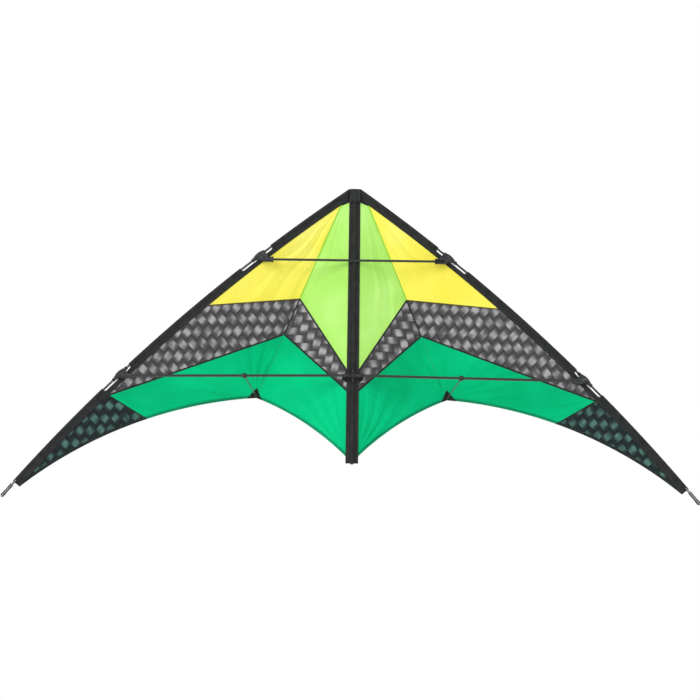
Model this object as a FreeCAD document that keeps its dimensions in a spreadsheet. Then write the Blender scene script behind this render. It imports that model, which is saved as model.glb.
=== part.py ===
import FreeCAD, Part
import math
import os
import re

from FreeCAD import Placement, Rotation, Vector

# Dual-line delta kite, 1.55 m span. Millimetres, +Z up the spine, +X to the right wing, the frame faces -Y.
# The origin is the centre line of the spine at the height of the centre tee.
# The right wing is drawn once; what mirrors exactly is mirrored about X = 0 for the left wing.

SIZES = {
    # leading edge: the rod is one long arc in the plane Y = 0
    "edge_arc": (4008.5, "bend radius of the leading-edge rod"),
    "edge_nose_angle": (34.69, "tilt of the arc's outward normal from +Z at the nose, degrees"),
    "nose_half": (12.0, "half width of the flat nose"),
    "nose_top": (415.0, "height of the nose above the tee"),
    "edge_rod_rad": (2.5, "leading-edge rod, outer radius"),
    "edge_bore_rad": (1.5, "leading-edge rod, bore radius"),
    "edge_rod_start": (14.0, "distances along the edge from the nose: start of the rod"),
    "edge_joint": (520.0, "butt joint of the upper and lower rods"),
    "edge_rod_end": (1022.0, "end of the rod"),
    "ferrule_half": (50.0, "half length of the ferrule inside the butt joint"),
    "sleeve_end": (988.5, "end of the sleeve"),
    "upper_notch": (216.0, "start of the upper cut-out"),
    "upper_notch_end": (301.0, "end of the upper cut-out"),
    "lower_notch": (626.0, "start of the lower cut-out"),
    "lower_notch_end": (706.0, "end of the lower cut-out"),
    "upper_fitting": (249.0, "centre of the upper connector"),
    "lower_fitting": (655.0, "centre of the lower connector"),
    "sleeve_rad": (3.5, "tube part of the sleeve, outer radius"),
    "sleeve_width": (16.0, "from the rod's axis to the sewn inner edge of the sleeve"),
    "notch_width": (7.2, "from the rod's axis to the strip left beside a cut-out"),
    "sleeve_thick": (1.2, "flat part of the sleeve"),
    # spine
    "spine_rod_rad": (2.5, "spine rod radius"),
    "spine_rod_y": (-4.2, "spine rod's axis in front of the sail"),
    "spine_rod_top": (409.0, "upper end of the spine rod"),
    "spine_rod_low": (-193.0, "lower end of the spine rod"),
    "pocket_wall": (0.6, "wall of the pocket sewn round the spine rod"),
    "pocket_top": (384.0, "upper end of the spine pocket and tape"),
    "pocket_low": (-185.0, "lower end of the spine pocket"),
    "tape_low": (-195.0, "lower end of the spine tape"),
    "tape_inner": (3.0, "inner edge of a tape half, clear of the fold line"),
    "tape_outer": (13.5, "outer edge of a tape half"),
    "tape_thick": (1.0, "spine tape thickness"),
    "fold_clear": (12.4, "wing parts at the nose stay outside this"),
    # cross frame
    "frame_y": (-12.0, "plane of the spreaders, in front of the sail"),
    "lower_rod_rad": (2.9, "lower spreader radius"),
    "lower_rod_run": (487.0, "X where the lower spreader enters its connector"),
    "lower_rod_drop": (6.6, "fall of the lower spreader over that run"),
    "upper_rod_rad": (2.6, "upper spreader radius"),
    "upper_rod_z": (255.0, "height of the upper spreader"),
    "upper_rod_run": (179.0, "X where the upper spreader enters its connector"),
    "socket_rad": (6.0, "connector socket radius"),
    "socket_depth": (18.0, "connector socket depth"),
    "eye_rad": (6.0, "connector eye, outer radius"),
    "eye_length": (30.0, "connector eye length along the rod"),
    "stop_rad": (4.2, "stopper ring radius"),
    "stop_length": (6.0, "stopper ring length"),
    "tee_half": (4.2, "half width of the tee's centre block"),
    "tee_height": (14.0, "height of the tee's centre block"),
    "tee_arm_rad": (4.75, "tee arm radius"),
    "tee_arm_end": (23.5, "X where a tee arm ends"),
    # sail
    "sail_thick": (0.6, "sail cloth, drawn thicker than the real 0.1"),
    "sail_spine": (12.0, "X where the sail leaves the spine tape"),
    "sail_depth": (105.0, "how far the standoffs hold the trailing edge back"),
    "hem_width": (6.0, "trailing-edge hem"),
    "standoff_x": (215.0, "X of the standoff point on the trailing edge"),
    "standoff_z": (-50.4, "height of the standoff point"),
    "inner_te_rad": (592.0, "radius of the inner trailing edge"),
    "outer_te_rad": (940.0, "radius of the outer trailing edge"),
    # standoff
    "clip_x": (240.0, "X of the standoff clip on the lower spreader"),
    "clip_rad": (6.0, "clip ring radius"),
    "clip_length": (10.0, "clip length along the spreader"),
    "standoff_rad": (1.25, "standoff rod radius"),
    "foot_rad": (2.8, "foot cap radius"),
    "foot_length": (12.0, "foot cap length"),
    "foot_gap": (5.5, "standoff's end in front of the trailing edge"),
    # tip
    "nock_rad": (4.2, "nock radius"),
    "nock_start": (996.0, "start of the nock"),
    "nock_end": (1031.0, "end of the nock"),
    "cord_rad": (0.9, "tension cord radius"),
    "cord_offset": (5.2, "tension cord's distance from the rod's axis"),
    # clearances
    "running_gap": (0.08, "running clearance of an eye or clip on its rod"),
    "open_gap": (0.35, "clearance round the spreader in the open cradle"),
}

doc = FreeCAD.newDocument("delta_kite")
sheet = doc.addObject("Spreadsheet::Sheet", "Sizes")
for row, (alias, (number, meaning)) in enumerate(SIZES.items(), start=1):
    sheet.set(f"A{row}", meaning)
    sheet.set(f"B{row}", str(number))
    sheet.setAlias(f"B{row}", alias)
doc.recompute()

nodes = {}


def size(alias):
    """The number in the sheet's cell of this alias."""
    return float(sheet.get(alias))


def keep(obj, name):
    """Marks an object as a sub-part with this name."""
    obj.Label = name
    nodes[name] = obj
    return obj


def bind(obj, **expressions):
    """Binds properties to sheet cells: bind(box, Length="tape_thick") or any expression of aliases."""
    for prop, text in expressions.items():
        cells = re.sub(r"[a-z_]+", lambda w: f"Sizes.{w[0]}" if w[0] in SIZES else w[0], text)
        obj.setExpression(prop, cells)
    return obj


def place(obj, origin, x_axis=(1, 0, 0), z_axis=(0, 0, 1)):
    """Puts an object's own axes at an origin; the two axes given are square to each other."""
    x_dir, z_dir = Vector(*x_axis), Vector(*z_axis)
    obj.Placement = Placement(Vector(*origin), Rotation(x_dir, z_dir.cross(x_dir), z_dir, "ZXY"))
    return obj


def cylinder(name, origin, direction, rad, length):
    """A cylinder from origin along direction; rad and length are expressions of the sheet."""
    obj = bind(doc.addObject("Part::Cylinder", name), Radius=rad, Height=length)
    obj.Placement = Placement(Vector(*origin), Rotation(Vector(0, 0, 1), Vector(*direction)))
    return obj


def box(name, low, high):
    """A box between two corners."""
    obj = doc.addObject("Part::Box", name)
    obj.Length, obj.Width, obj.Height = (b - a for a, b in zip(low, high))
    obj.Placement.Base = Vector(*low)
    return obj


def fuse(name, parts):
    """All the parts joined."""
    obj = doc.addObject("Part::MultiFuse", name)
    obj.Shapes = parts
    return obj


def cut(name, base, tool):
    """The base less the tool."""
    obj = doc.addObject("Part::Cut", name)
    obj.Base, obj.Tool = base, tool
    return obj


def common(name, base, tool):
    """What the base and the tool share."""
    obj = doc.addObject("Part::Common", name)
    obj.Base, obj.Tool = base, tool
    return obj


def feature(name, shape):
    """A shape that was worked out here, as an object."""
    obj = doc.addObject("Part::Feature", name)
    obj.Shape = shape
    return obj


# ---------------------------------------------------------------- leading-edge arc

EDGE_R = size("edge_arc")
OUTER_R = EDGE_R + size("sleeve_rad")
OVERCUT = 20.0
NOSE_TILT = math.radians(size("edge_nose_angle"))
ARC_X = size("nose_half") - OUTER_R * math.sin(NOSE_TILT)
ARC_Z = size("nose_top") - OUTER_R * math.cos(NOSE_TILT)
SAIL_R = EDGE_R - size("sleeve_width")


def tilt(along):
    """The arc's normal angle from +Z at a distance along the edge from the nose, radians."""
    return NOSE_TILT + along / EDGE_R


def edge_point(along, radius=EDGE_R, side=1):
    """A point (x, 0, z) at a distance along the edge and a radius from the arc's centre."""
    a = tilt(along)
    return (side * (ARC_X + radius * math.sin(a)), 0.0, ARC_Z + radius * math.cos(a))


def tangent(along, side=1):
    """The edge's direction from nose to tip."""
    a = tilt(along)
    return (side * math.cos(a), 0.0, -math.sin(a))


def on_arc(obj, along, side=1):
    """Sets an object drawn about its own Z axis on the arc, starting at a distance along the edge."""
    a = tilt(along)
    origin = (side * ARC_X, 0, ARC_Z)
    if side > 0:
        return place(obj, origin, (math.sin(a), 0, math.cos(a)), (0, 1, 0))
    return place(obj, origin, (-math.sin(a), 0, math.cos(a)), (0, -1, 0))


def arc_rod(name, start, end, rad, side=1):
    """A round rod bent to the edge's arc between two expressions of distance along it."""
    obj = bind(doc.addObject("Part::Torus", name), Radius1="edge_arc", Radius2=rad,
               Angle3=f"( {end} - ( {start} ) ) / edge_arc * 180 / pi")
    obj.Angle1, obj.Angle2 = -180, 180
    doc.recompute()
    return on_arc(obj, value_of(start), side)


def value_of(text):
    """The number that an expression of aliases stands for."""
    total, sign = 0.0, 1
    for word in text.split():
        if word in "+-":
            sign = 1 if word == "+" else -1
        else:
            number, _, divisor = word.partition("/")
            amount = size(number) if number in SIZES else float(number)
            total += sign * amount / float(divisor or 1)
    return total


def arc_tube(name, start, end, rad, bore, side=1):
    """A tube round the edge's arc."""
    solid = arc_rod(name + "_solid", start, end, rad, side)
    hole = arc_rod(name + "_hole", f"{start} - 1", f"{end} + 1", bore, side)
    return cut(name, solid, hole)


def profile_sketch(name, outline, hole_rad=None):
    """A closed sketch in the plane of the arc's radius (x) and the kite's depth (y)."""
    sketch = doc.addObject("Sketcher::SketchObject", name)
    sketch.Placement = Placement(Vector(), Rotation(Vector(1, 0, 0), 90))
    for piece in outline:
        sketch.addGeometry(piece, False)
    if hole_rad:
        sketch.addGeometry(Part.Circle(Vector(EDGE_R, 0, 0), Vector(0, 0, 1), hole_rad), False)
    return sketch


def lines(points):
    """Straight segments through points, closed."""
    corners = [Vector(p[0], p[1], 0) for p in points]
    return [Part.LineSegment(a, b) for a, b in zip(corners, corners[1:] + corners[:1])]


def arc_band(name, sketch, start, end):
    """A profile carried along the edge's arc."""
    obj = doc.addObject("Part::Revolution", name)
    obj.Source, obj.Axis, obj.Base, obj.Solid = sketch, Vector(0, 0, 1), Vector(), True
    bind(obj, Angle=f"( {end} - ( {start} ) ) / edge_arc * 180 / pi")
    return on_arc(obj, value_of(start))


# rods and ferrule
keep(arc_tube("RodUpper", "edge_rod_start", "edge_joint", "edge_rod_rad", "edge_bore_rad"),
     "right_edge_rod_upper")
keep(arc_tube("RodLower", "edge_joint", "edge_rod_end", "edge_rod_rad", "edge_bore_rad"),
     "right_edge_rod_lower")
keep(arc_rod("Ferrule", "edge_joint - ferrule_half", "edge_joint + ferrule_half", "edge_bore_rad"),
     "right_edge_ferrule")

# sleeve: a tube round the rod with a flat inner edge, and only a strip of the flat beside each cut-out
half = size("sleeve_thick") / 2
tube_r = size("sleeve_rad")
meet = EDGE_R - math.sqrt(tube_r**2 - half**2)
lip = math.asin(half / tube_r)
inner, strip = EDGE_R - size("sleeve_width"), EDGE_R - size("notch_width")
tube_arc = Part.ArcOfCircle(Part.Circle(Vector(EDGE_R, 0, 0), Vector(0, 0, 1), tube_r),
                            lip - math.pi, math.pi - lip)
full_outline = [
    Part.LineSegment(Vector(meet, half, 0), Vector(inner, half, 0)),
    Part.LineSegment(Vector(inner, half, 0), Vector(inner, -half, 0)),
    Part.LineSegment(Vector(inner, -half, 0), Vector(meet, -half, 0)),
    tube_arc,
]
full = profile_sketch("SleeveProfile", full_outline, size("edge_rod_rad"))
flat = profile_sketch("StripProfile", lines([(inner, half), (inner, -half), (strip, -half), (strip, half)]))
bands = [
    arc_band("SleeveNose", full, "0", "upper_notch"),
    arc_band("StripUpper", flat, "upper_notch", "upper_notch_end"),
    arc_band("SleeveMiddle", full, "upper_notch_end", "lower_notch"),
    arc_band("StripLower", flat, "lower_notch", "lower_notch_end"),
    arc_band("SleeveTip", full, "lower_notch_end", "sleeve_end"),
]
nose_box = box("NoseClear", (-60, -20, 300), (size("fold_clear"), 20, 460))
keep(cut("Sleeve", fuse("SleeveBands", bands), nose_box), "right_leading_sleeve")

# stopper rings: one below the upper connector, one on each side of the lower one
RING = "eye_length/2"
STOP_STARTS = {
    "StopA": f"upper_fitting + {RING} + open_gap",
    "StopB": f"lower_fitting - {RING} - open_gap - stop_length",
    "StopC": f"lower_fitting + {RING} + open_gap",
}
stops = [arc_tube(name, start, f"{start} + stop_length", "stop_rad", "edge_rod_rad")
         for name, start in STOP_STARTS.items()]
stop_group = doc.addObject("Part::Compound", "Stops")
stop_group.Links = stops
keep(stop_group, "right_edge_stops")

# ---------------------------------------------------------------- cross frame

FRAME_Y = size("frame_y")
DROP = math.atan2(size("lower_rod_drop"), size("lower_rod_run"))
LOWER_DIR = (math.cos(DROP), 0.0, -math.sin(DROP))
UPPER_Z = size("upper_rod_z")


def on_lower(x):
    """The point of the lower spreader's axis at this X."""
    return (x, FRAME_Y, -x * math.tan(DROP))


SPREADER_START = 6.0
keep(cylinder("LowerSpreader", on_lower(SPREADER_START), LOWER_DIR, "lower_rod_rad",
              f"( lower_rod_run + socket_depth - {SPREADER_START} ) / {math.cos(DROP)}"),
     "right_lower_spreader")
ARM_START = size("tee_half") + 0.3
arm = cylinder("ArmSolid", on_lower(ARM_START), LOWER_DIR, "tee_arm_rad", f"tee_arm_end - {ARM_START}")
arm_hole = cylinder("ArmHole", on_lower(SPREADER_START), LOWER_DIR, "lower_rod_rad", "tee_arm_end")
keep(cut("TeeArm", arm, arm_hole), "right_tee_arm")

EYE_ENDS = (f"- {RING}", f"+ {RING}")
SOCKET_FLOOR, WEB_LOW, WEB_BACK = 4.0, 5.0, 2.0
SLOT_REACH = 10.0


def connector(name, fitting, mouth, direction, rod_rad, side, swivels=False, open_front=False):
    """A moulded connector: an eye round the edge rod, a socket in front of it for a spreader, a web between.
    An eye that swivels is straight with a running bore; a fixed one follows the rod's bend."""
    start, end = (f"{fitting} {part}" for part in EYE_ENDS)
    if swivels:
        along = tangent(size(fitting), side)
        at = Vector(*edge_point(size(fitting), EDGE_R, side)) - Vector(*along) * size("eye_length") / 2
        eye = cylinder(name + "Eye", tuple(at), along, "eye_rad", "eye_length")
        rod = cylinder(name + "Rod", tuple(at - Vector(*along) * OVERCUT), along,
                       "edge_rod_rad + running_gap", f"eye_length + {2 * OVERCUT}")
    else:
        eye = arc_rod(name + "Eye", start, end, "eye_rad", side)
        rod = arc_rod(name + "Rod", f"{start} - {OVERCUT}", f"{end} + {OVERCUT}", "edge_rod_rad", side)
    socket = cylinder(name + "Socket", mouth, direction, "socket_rad", f"socket_depth + {SOCKET_FLOOR}")
    centre = edge_point(size(fitting), EDGE_R, side)
    tip = [m + d * size("socket_depth") for m, d in zip(mouth, direction)]
    reach = sorted((tip[0] - side * WEB_BACK, centre[0] + side * WEB_BACK))
    web = box(name + "Web", (reach[0], FRAME_Y - SOCKET_FLOOR, tip[2] - WEB_LOW),
              (reach[1], -WEB_BACK, max(tip[2], centre[2]) + SOCKET_FLOOR))
    body = fuse(name + "Body", [eye, socket, web])
    inset = cylinder(name + "Inset", mouth, direction, rod_rad, "socket_depth")
    tools = [rod, inset]
    if open_front:
        gap = size("upper_rod_rad") + size("open_gap")
        low_x, high_x = sorted((mouth[0] - side, mouth[0] + side * size("socket_depth")))
        tools.append(box(name + "Slot", (low_x, FRAME_Y - SLOT_REACH, mouth[2] - gap),
                         (high_x, FRAME_Y, mouth[2] + gap)))
    return cut(name, body, fuse(name + "Tools", tools))


keep(connector("LowerConnector", "lower_fitting", on_lower(size("lower_rod_run")), LOWER_DIR,
               "lower_rod_rad", 1), "right_lower_connector")
keep(connector("RightUpper", "upper_fitting", (size("upper_rod_run"), FRAME_Y, UPPER_Z), (1, 0, 0),
               "upper_rod_rad + open_gap", 1, open_front=True), "right_upper_connector")
keep(connector("LeftUpper", "upper_fitting", (-size("upper_rod_run"), FRAME_Y, UPPER_Z), (-1, 0, 0),
               "upper_rod_rad", -1, swivels=True), "left_upper_connector")
UPPER_LEFT = -(size("upper_rod_run") + size("socket_depth"))
keep(cylinder("UpperSpreader", (UPPER_LEFT, FRAME_Y, UPPER_Z), (1, 0, 0), "upper_rod_rad",
              "2 * upper_rod_run + 2 * socket_depth - 1"), "upper_spreader_rod")

# ---------------------------------------------------------------- spine

ROD_Y = size("spine_rod_y")
LOW, TOP = size("pocket_low"), size("pocket_top")
TEE_HOLE = 14.0
keep(cylinder("SpineRod", (0, ROD_Y, size("spine_rod_low")), (0, 0, 1), "spine_rod_rad",
              "spine_rod_top - spine_rod_low"), "spine_rod")
STRIP_HALF, STRIP_FRONT, STRIP_BACK = 2.2, -1.3, -0.2
pocket_solids = [
    cylinder("PocketUpper", (0, ROD_Y, TEE_HOLE), (0, 0, 1), "spine_rod_rad + pocket_wall",
             f"pocket_top - {TEE_HOLE}"),
    cylinder("PocketLower", (0, ROD_Y, LOW), (0, 0, 1), "spine_rod_rad + pocket_wall",
             f"-{TEE_HOLE} - pocket_low"),
    box("PocketStrip", (-STRIP_HALF, STRIP_FRONT, LOW), (STRIP_HALF, STRIP_BACK, TOP)),
]
rod_hole = cylinder("PocketHole", (0, ROD_Y, LOW - 1), (0, 0, 1), "spine_rod_rad",
                    "pocket_top - pocket_low + 2")
keep(cut("SpinePocket", fuse("PocketSolids", pocket_solids), rod_hole), "spine_pocket")

# a cap on the tail end of the rod
CAP_END, CAP_LENGTH, CAP_WALL = 4.0, 11.0, 0.9
cap = cylinder("CapSolid", (0, ROD_Y, size("spine_rod_low") - CAP_END), (0, 0, 1),
               f"spine_rod_rad + {CAP_WALL}", str(CAP_LENGTH))
cap_hole = cylinder("CapHole", (0, ROD_Y, size("spine_rod_low")), (0, 0, 1), "spine_rod_rad", str(OVERCUT))
keep(cut("TailCap", cap, cap_hole), "tail_cap")

# nose webbing: a strap folded over the end of the spine rod
STRAP_HALF, STRAP_FRONT, STRAP_BACK, STRAP = 11.0, -8.6, 1.6, 1.2
NOSE_LOW, NOSE_TOP = TOP + 1.0, size("nose_top")
strap_solid = box("StrapSolid", (-STRAP_HALF, STRAP_FRONT, NOSE_LOW), (STRAP_HALF, STRAP_BACK, NOSE_TOP))
strap_hollow = box("StrapHollow", (-OVERCUT, STRAP_FRONT + STRAP, NOSE_LOW - 1),
                   (OVERCUT, STRAP_BACK - STRAP, NOSE_TOP - STRAP))
keep(cut("NoseWebbing", strap_solid, strap_hollow), "nose_webbing")

# centre tee: a tube on the spine rod with a block in front of it
TUBE_HALF, TUBE_FORWARD, TUBE_PROUD = 13.0, 1.65, 0.2
TEE_WEB_X, TEE_WEB_Z = 3.6, 7.0
tee_tube = cylinder("TeeTube", (0, ROD_Y - TUBE_FORWARD, -TUBE_HALF), (0, 0, 1),
                    f"tee_half + {TUBE_PROUD}", str(2 * TUBE_HALF))
tee_block = cylinder("TeeBlock", (-size("tee_half"), FRAME_Y, 0), (1, 0, 0), "tee_height / 2", "tee_half * 2")
tee_web = box("TeeWeb", (-TEE_WEB_X, FRAME_Y, -TEE_WEB_Z), (TEE_WEB_X, ROD_Y, TEE_WEB_Z))
tee_hole = cylinder("TeeHole", (0, ROD_Y, -OVERCUT), (0, 0, 1), "spine_rod_rad", str(2 * OVERCUT))
keep(cut("TeeCore", fuse("TeeSolids", [tee_tube, tee_block, tee_web]), tee_hole), "tee_core")

# one half of the spine tape, sewn to the sail
keep(box("SpineTape", (size("tape_inner"), -size("tape_thick"), size("tape_low")),
         (size("tape_outer"), 0, TOP)), "right_spine_tape")

# ---------------------------------------------------------------- sail surfaces

SPINE_X = size("sail_spine")
DEPTH = size("sail_depth")
THICK = size("sail_thick")
S_X, S_Z = size("standoff_x"), size("standoff_z")
RIDGE_START = 36.0
RIDGE_OVER = 1.04


def ridge(share):
    """A point on the straight ridge from the sleeve near the nose (0) to the standoff point (1)."""
    start = edge_point(RIDGE_START, SAIL_R)
    return Vector(start[0] + share * (S_X - start[0]), share * DEPTH, start[2] + share * (S_Z - start[2]))


def arc_centre(first, last, rad):
    """Centre (x, z) of the arc of this radius between two points, on the lower side."""
    mid = ((first[0] + last[0]) / 2, (first[1] + last[1]) / 2)
    span = math.dist(first, last)
    rise = math.sqrt(rad**2 - (span / 2) ** 2)
    across = ((last[1] - first[1]) / span, -(last[0] - first[0]) / span)
    return (mid[0] + rise * across[0], mid[1] + rise * across[1])


TIP = edge_point(size("sleeve_end"), SAIL_R)
TAIL = (SPINE_X, -181.0)
INNER_C = arc_centre(TAIL, (S_X, S_Z), size("inner_te_rad"))
OUTER_C = arc_centre((S_X, S_Z), (TIP[0], TIP[2]), size("outer_te_rad"))


def arc_edge(start, end):
    """The sewn inner edge of the sleeve between two distances along the edge."""
    points = [Vector(*edge_point(a, SAIL_R)) for a in (start, (start + end) / 2, end)]
    return Part.Arc(*points).toShape()


def below_trailing_edge(share):
    """A point of the outer trailing edge, let out a little so that the arc can trim it."""
    over = size("outer_te_rad") - 10.0
    a0 = math.atan2(S_Z - OUTER_C[1], S_X - OUTER_C[0])
    a1 = math.atan2(TIP[2] - OUTER_C[1], TIP[0] - OUTER_C[0])
    a = a0 + share * (a1 - a0)
    return Vector(OUTER_C[0] + over * math.cos(a), DEPTH * (1 - share), OUTER_C[1] + over * math.sin(a))


EDGE_SPLIT = 350.0
low_ridge = ridge(RIDGE_OVER)
spine_line = Part.LineSegment(Vector(SPINE_X, 0, TOP), Vector(SPINE_X, 0, TAIL[1] - 12)).toShape()
ridge_line = Part.LineSegment(ridge(0), low_ridge).toShape()
free_points = [low_ridge] + [below_trailing_edge(s) for s in (0.2, 0.4, 0.6, 0.8, 1.0)]
free_curve = Part.BSplineCurve()
free_curve.interpolate(free_points)

faces_inner = [Part.makeRuledSurface(spine_line, ridge_line)]
faces_outer = [
    Part.makeRuledSurface(arc_edge(RIDGE_START - 1.0, EDGE_SPLIT), ridge_line),
    Part.makeRuledSurface(arc_edge(EDGE_SPLIT, size("sleeve_end") + 2.0), free_curve.toShape()),
]


def cloth(faces, depth):
    """Faces given a thickness along Y."""
    solids = [face.extrude(Vector(0, depth, 0)) for face in faces]
    return solids[0].fuse(solids[1:]) if len(solids) > 1 else solids[0]


sail_inner = feature("SailInner", cloth(faces_inner, THICK))
sail_outer = feature("SailOuter", cloth(faces_outer, THICK))
front_inner = feature("FrontInner", cloth(faces_inner, -THICK))
front_outer = feature("FrontOuter", cloth(faces_outer, -THICK))

CUT_FROM, CUT_LENGTH = -30.0, 170.0


def prism(name, outline):
    """An outline (x, z) carried right through the kite along Y."""
    sketch = doc.addObject("Sketcher::SketchObject", name + "Outline")
    sketch.Placement = Placement(Vector(0, CUT_FROM, 0), Rotation(Vector(1, 0, 0), 90))
    for piece in lines(outline):
        sketch.addGeometry(piece, False)
    obj = doc.addObject("Part::Extrusion", name + "Prism")
    obj.Base, obj.DirMode, obj.Dir = sketch, "Custom", Vector(0, 1, 0)
    obj.LengthFwd, obj.Solid = CUT_LENGTH, True
    return obj


def edge_cutter(name, centre, rad):
    """A drum whose round side is a trailing-edge arc."""
    return cylinder(name, (centre[0], CUT_FROM, centre[1]), (0, 1, 0), rad, str(CUT_LENGTH))


inner_hem = edge_cutter("InnerHemLine", INNER_C, "inner_te_rad + hem_width")
inner_edge = edge_cutter("InnerEdgeLine", INNER_C, "inner_te_rad")
outer_hem = edge_cutter("OuterHemLine", OUTER_C, "outer_te_rad + hem_width")
outer_edge = edge_cutter("OuterEdgeLine", OUTER_C, "outer_te_rad")

J1, J2, LOW_RIDGE = ((p.x, p.z) for p in (ridge(0.483), ridge(0.667), low_ridge))
TIP_CORNER = (541.0, -50.0)
TIP_LOW = (429.0, -119.2)
TAIL_LOW = TAIL[1] - 17


def beyond(first, last, share):
    """A point on the line from first to last, past last by a share of its length."""
    return tuple(b + share * (b - a) for a, b in zip(first, last))


def seam(spine_z, joint):
    """Both ends of a seam from the spine to the ridge, run on past the cloth."""
    root = (SPINE_X, spine_z)
    return beyond(joint, root, 0.1), beyond(root, joint, 0.1)


LIME_LOW, LIME_HIGH = seam(9.0, J1)
WEAVE_LOW, WEAVE_HIGH = seam(-34.0, J2)
YELLOW_EDGE = (350.0, 146.4)
YELLOW_ROOT = beyond(YELLOW_EDGE, J1, 0.1)
GREEN_EDGE, GREEN_ROOT = beyond(J2, TIP_CORNER, 0.17), beyond(TIP_CORNER, J2, 0.1)

OUTLINES = {
    "lime_panel": (sail_inner, None, [LIME_LOW, (0, 395), (60, 395), LIME_HIGH]),
    "weave_inner": (sail_inner, None, [LIME_LOW, LIME_HIGH, WEAVE_HIGH, WEAVE_LOW]),
    "green_inner": (sail_inner, inner_hem,
                    [WEAVE_LOW, WEAVE_HIGH, (LOW_RIDGE[0] + 20, -72), (0, TAIL_LOW)]),
    "yellow_panel": (sail_outer, None, [(-20, 430), (330, 330), YELLOW_EDGE, YELLOW_ROOT]),
    "weave_outer": (sail_outer, None,
                    [YELLOW_ROOT, YELLOW_EDGE, (420, 200), (620, 60), GREEN_EDGE, GREEN_ROOT]),
    "green_outer": (sail_outer, outer_hem, [GREEN_ROOT, TIP_CORNER, TIP_LOW, (150, -80)]),
    "tip_panel": (sail_outer, outer_hem, [TIP_CORNER, GREEN_EDGE, (820, -240), (760, -320), TIP_LOW]),
}
for name, (cloth_solid, trim, outline) in OUTLINES.items():
    panel = common(name + "_raw", cloth_solid, prism(name, outline))
    keep(cut(name + "_trim", panel, trim) if trim else panel, "right_" + name)

# hem: the last few millimetres of the trailing edge, inner and outer arcs
hem_inner = common("HemInner", sail_inner, cut("HemInnerBand", inner_hem, inner_edge))
hem_outer = common("HemOuter", sail_outer, cut("HemOuterBand", outer_hem, outer_edge))
keep(fuse("Hem", [hem_inner, hem_outer]), "right_hem")

# patches sewn on the front of the sail
PATCH = [(202.0, -62.0), (202.0, -54.0), (214.0, -29.0), (236.0, -50.0), (236.0, -62.0)]
patch_prism = prism("Patch", PATCH)
patch_raw = fuse("PatchRaw", [common("PatchInner", front_inner, patch_prism),
                              common("PatchOuter", front_outer, patch_prism)])
keep(cut("Patch", patch_raw, fuse("PatchEdges", [inner_edge, outer_edge])), "right_standoff_patch")
TEE_PATCH = [(size("tape_outer"), 8.0), (23.0, -3.0), (23.0, -9.0), (size("tape_outer"), -16.0)]
keep(common("TeePatch", front_inner, prism("TeePatch", TEE_PATCH)), "right_tee_patch")
SAIL_TOP = ridge(0)
top_tilt = math.asin((size("fold_clear") - ARC_X) / SAIL_R)
nose_corner = (size("fold_clear"), ARC_Z + SAIL_R * math.cos(top_tilt) - 0.5)
nose_prism = prism("NosePatch", [(size("fold_clear"), TOP + 0.5), nose_corner,
                                 (SAIL_TOP.x - 1.2, SAIL_TOP.z + 0.5)])
nose_plate = box("NosePlate", (0, 0, 370), (40, THICK, 400))
keep(common("NosePatch", nose_plate, nose_prism), "right_nose_patch")

# ---------------------------------------------------------------- standoffs

CLIP = Vector(*on_lower(size("clip_x")))
FOOT = Vector(S_X, DEPTH - size("foot_gap"), S_Z + 4.0)
OUT = (FOOT - CLIP).normalize()
OUT_XYZ = tuple(OUT)
ROD_START, ROD_END = 4.5, 2.0
NECK_WALL, NECK_OUT = 1.8, 8.0
ring_from = tuple(CLIP - Vector(*LOWER_DIR) * size("clip_length") / 2)
ring = cylinder("ClipRing", ring_from, LOWER_DIR, "clip_rad", "clip_length")
neck = cylinder("ClipNeck", tuple(CLIP), OUT_XYZ, f"standoff_rad + {NECK_WALL}", f"clip_rad + {NECK_OUT}")
ring_bore = cylinder("ClipBore", tuple(CLIP - Vector(*LOWER_DIR) * OVERCUT), LOWER_DIR,
                     "lower_rod_rad + running_gap", str(2 * OVERCUT))
neck_bore = cylinder("NeckBore", tuple(CLIP + OUT * ROD_START), OUT_XYZ, "standoff_rad", str(OVERCUT))
keep(cut("Clip", fuse("ClipSolid", [ring, neck]), fuse("ClipTools", [ring_bore, neck_bore])),
     "right_standoff_clip")
REACH = (FOOT - CLIP).Length
keep(cylinder("StandoffRod", tuple(CLIP + OUT * ROD_START), OUT_XYZ, "standoff_rad",
              str(REACH - ROD_START - ROD_END)), "right_standoff_rod")
foot = cylinder("FootSolid", tuple(FOOT - OUT * size("foot_length")), OUT_XYZ, "foot_rad", "foot_length")
foot_hole = cylinder("FootHole", tuple(FOOT - OUT * (size("foot_length") + 1)), OUT_XYZ, "standoff_rad",
                     "foot_length - 1")
keep(cut("Foot", foot, foot_hole), "right_standoff_foot")

# ---------------------------------------------------------------- wing tip

nock_solid = arc_rod("NockSolid", "nock_start", "nock_end", "nock_rad")
nock_hole = arc_rod("NockHole", "nock_start - 1", "edge_rod_end", "edge_rod_rad")
END = Vector(*edge_point(size("nock_end")))
END_DIR = Vector(*tangent(size("nock_end")))
slot = doc.addObject("Part::Box", "NockSlot")
SLOT_DEEP, SLOT_WIDE = 6.0, 2.2
slot.Length, slot.Width, slot.Height = OVERCUT, OVERCUT, SLOT_WIDE
slot_from = END - END_DIR * SLOT_DEEP
slot_up = END_DIR.cross(Vector(0, 1, 0))
place(slot, tuple(slot_from - Vector(0, OVERCUT / 2, 0) - slot_up * SLOT_WIDE / 2), tuple(END_DIR),
      tuple(slot_up))
keep(cut("Nock", nock_solid, fuse("NockTools", [nock_hole, slot])), "right_tip_nock")

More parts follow.
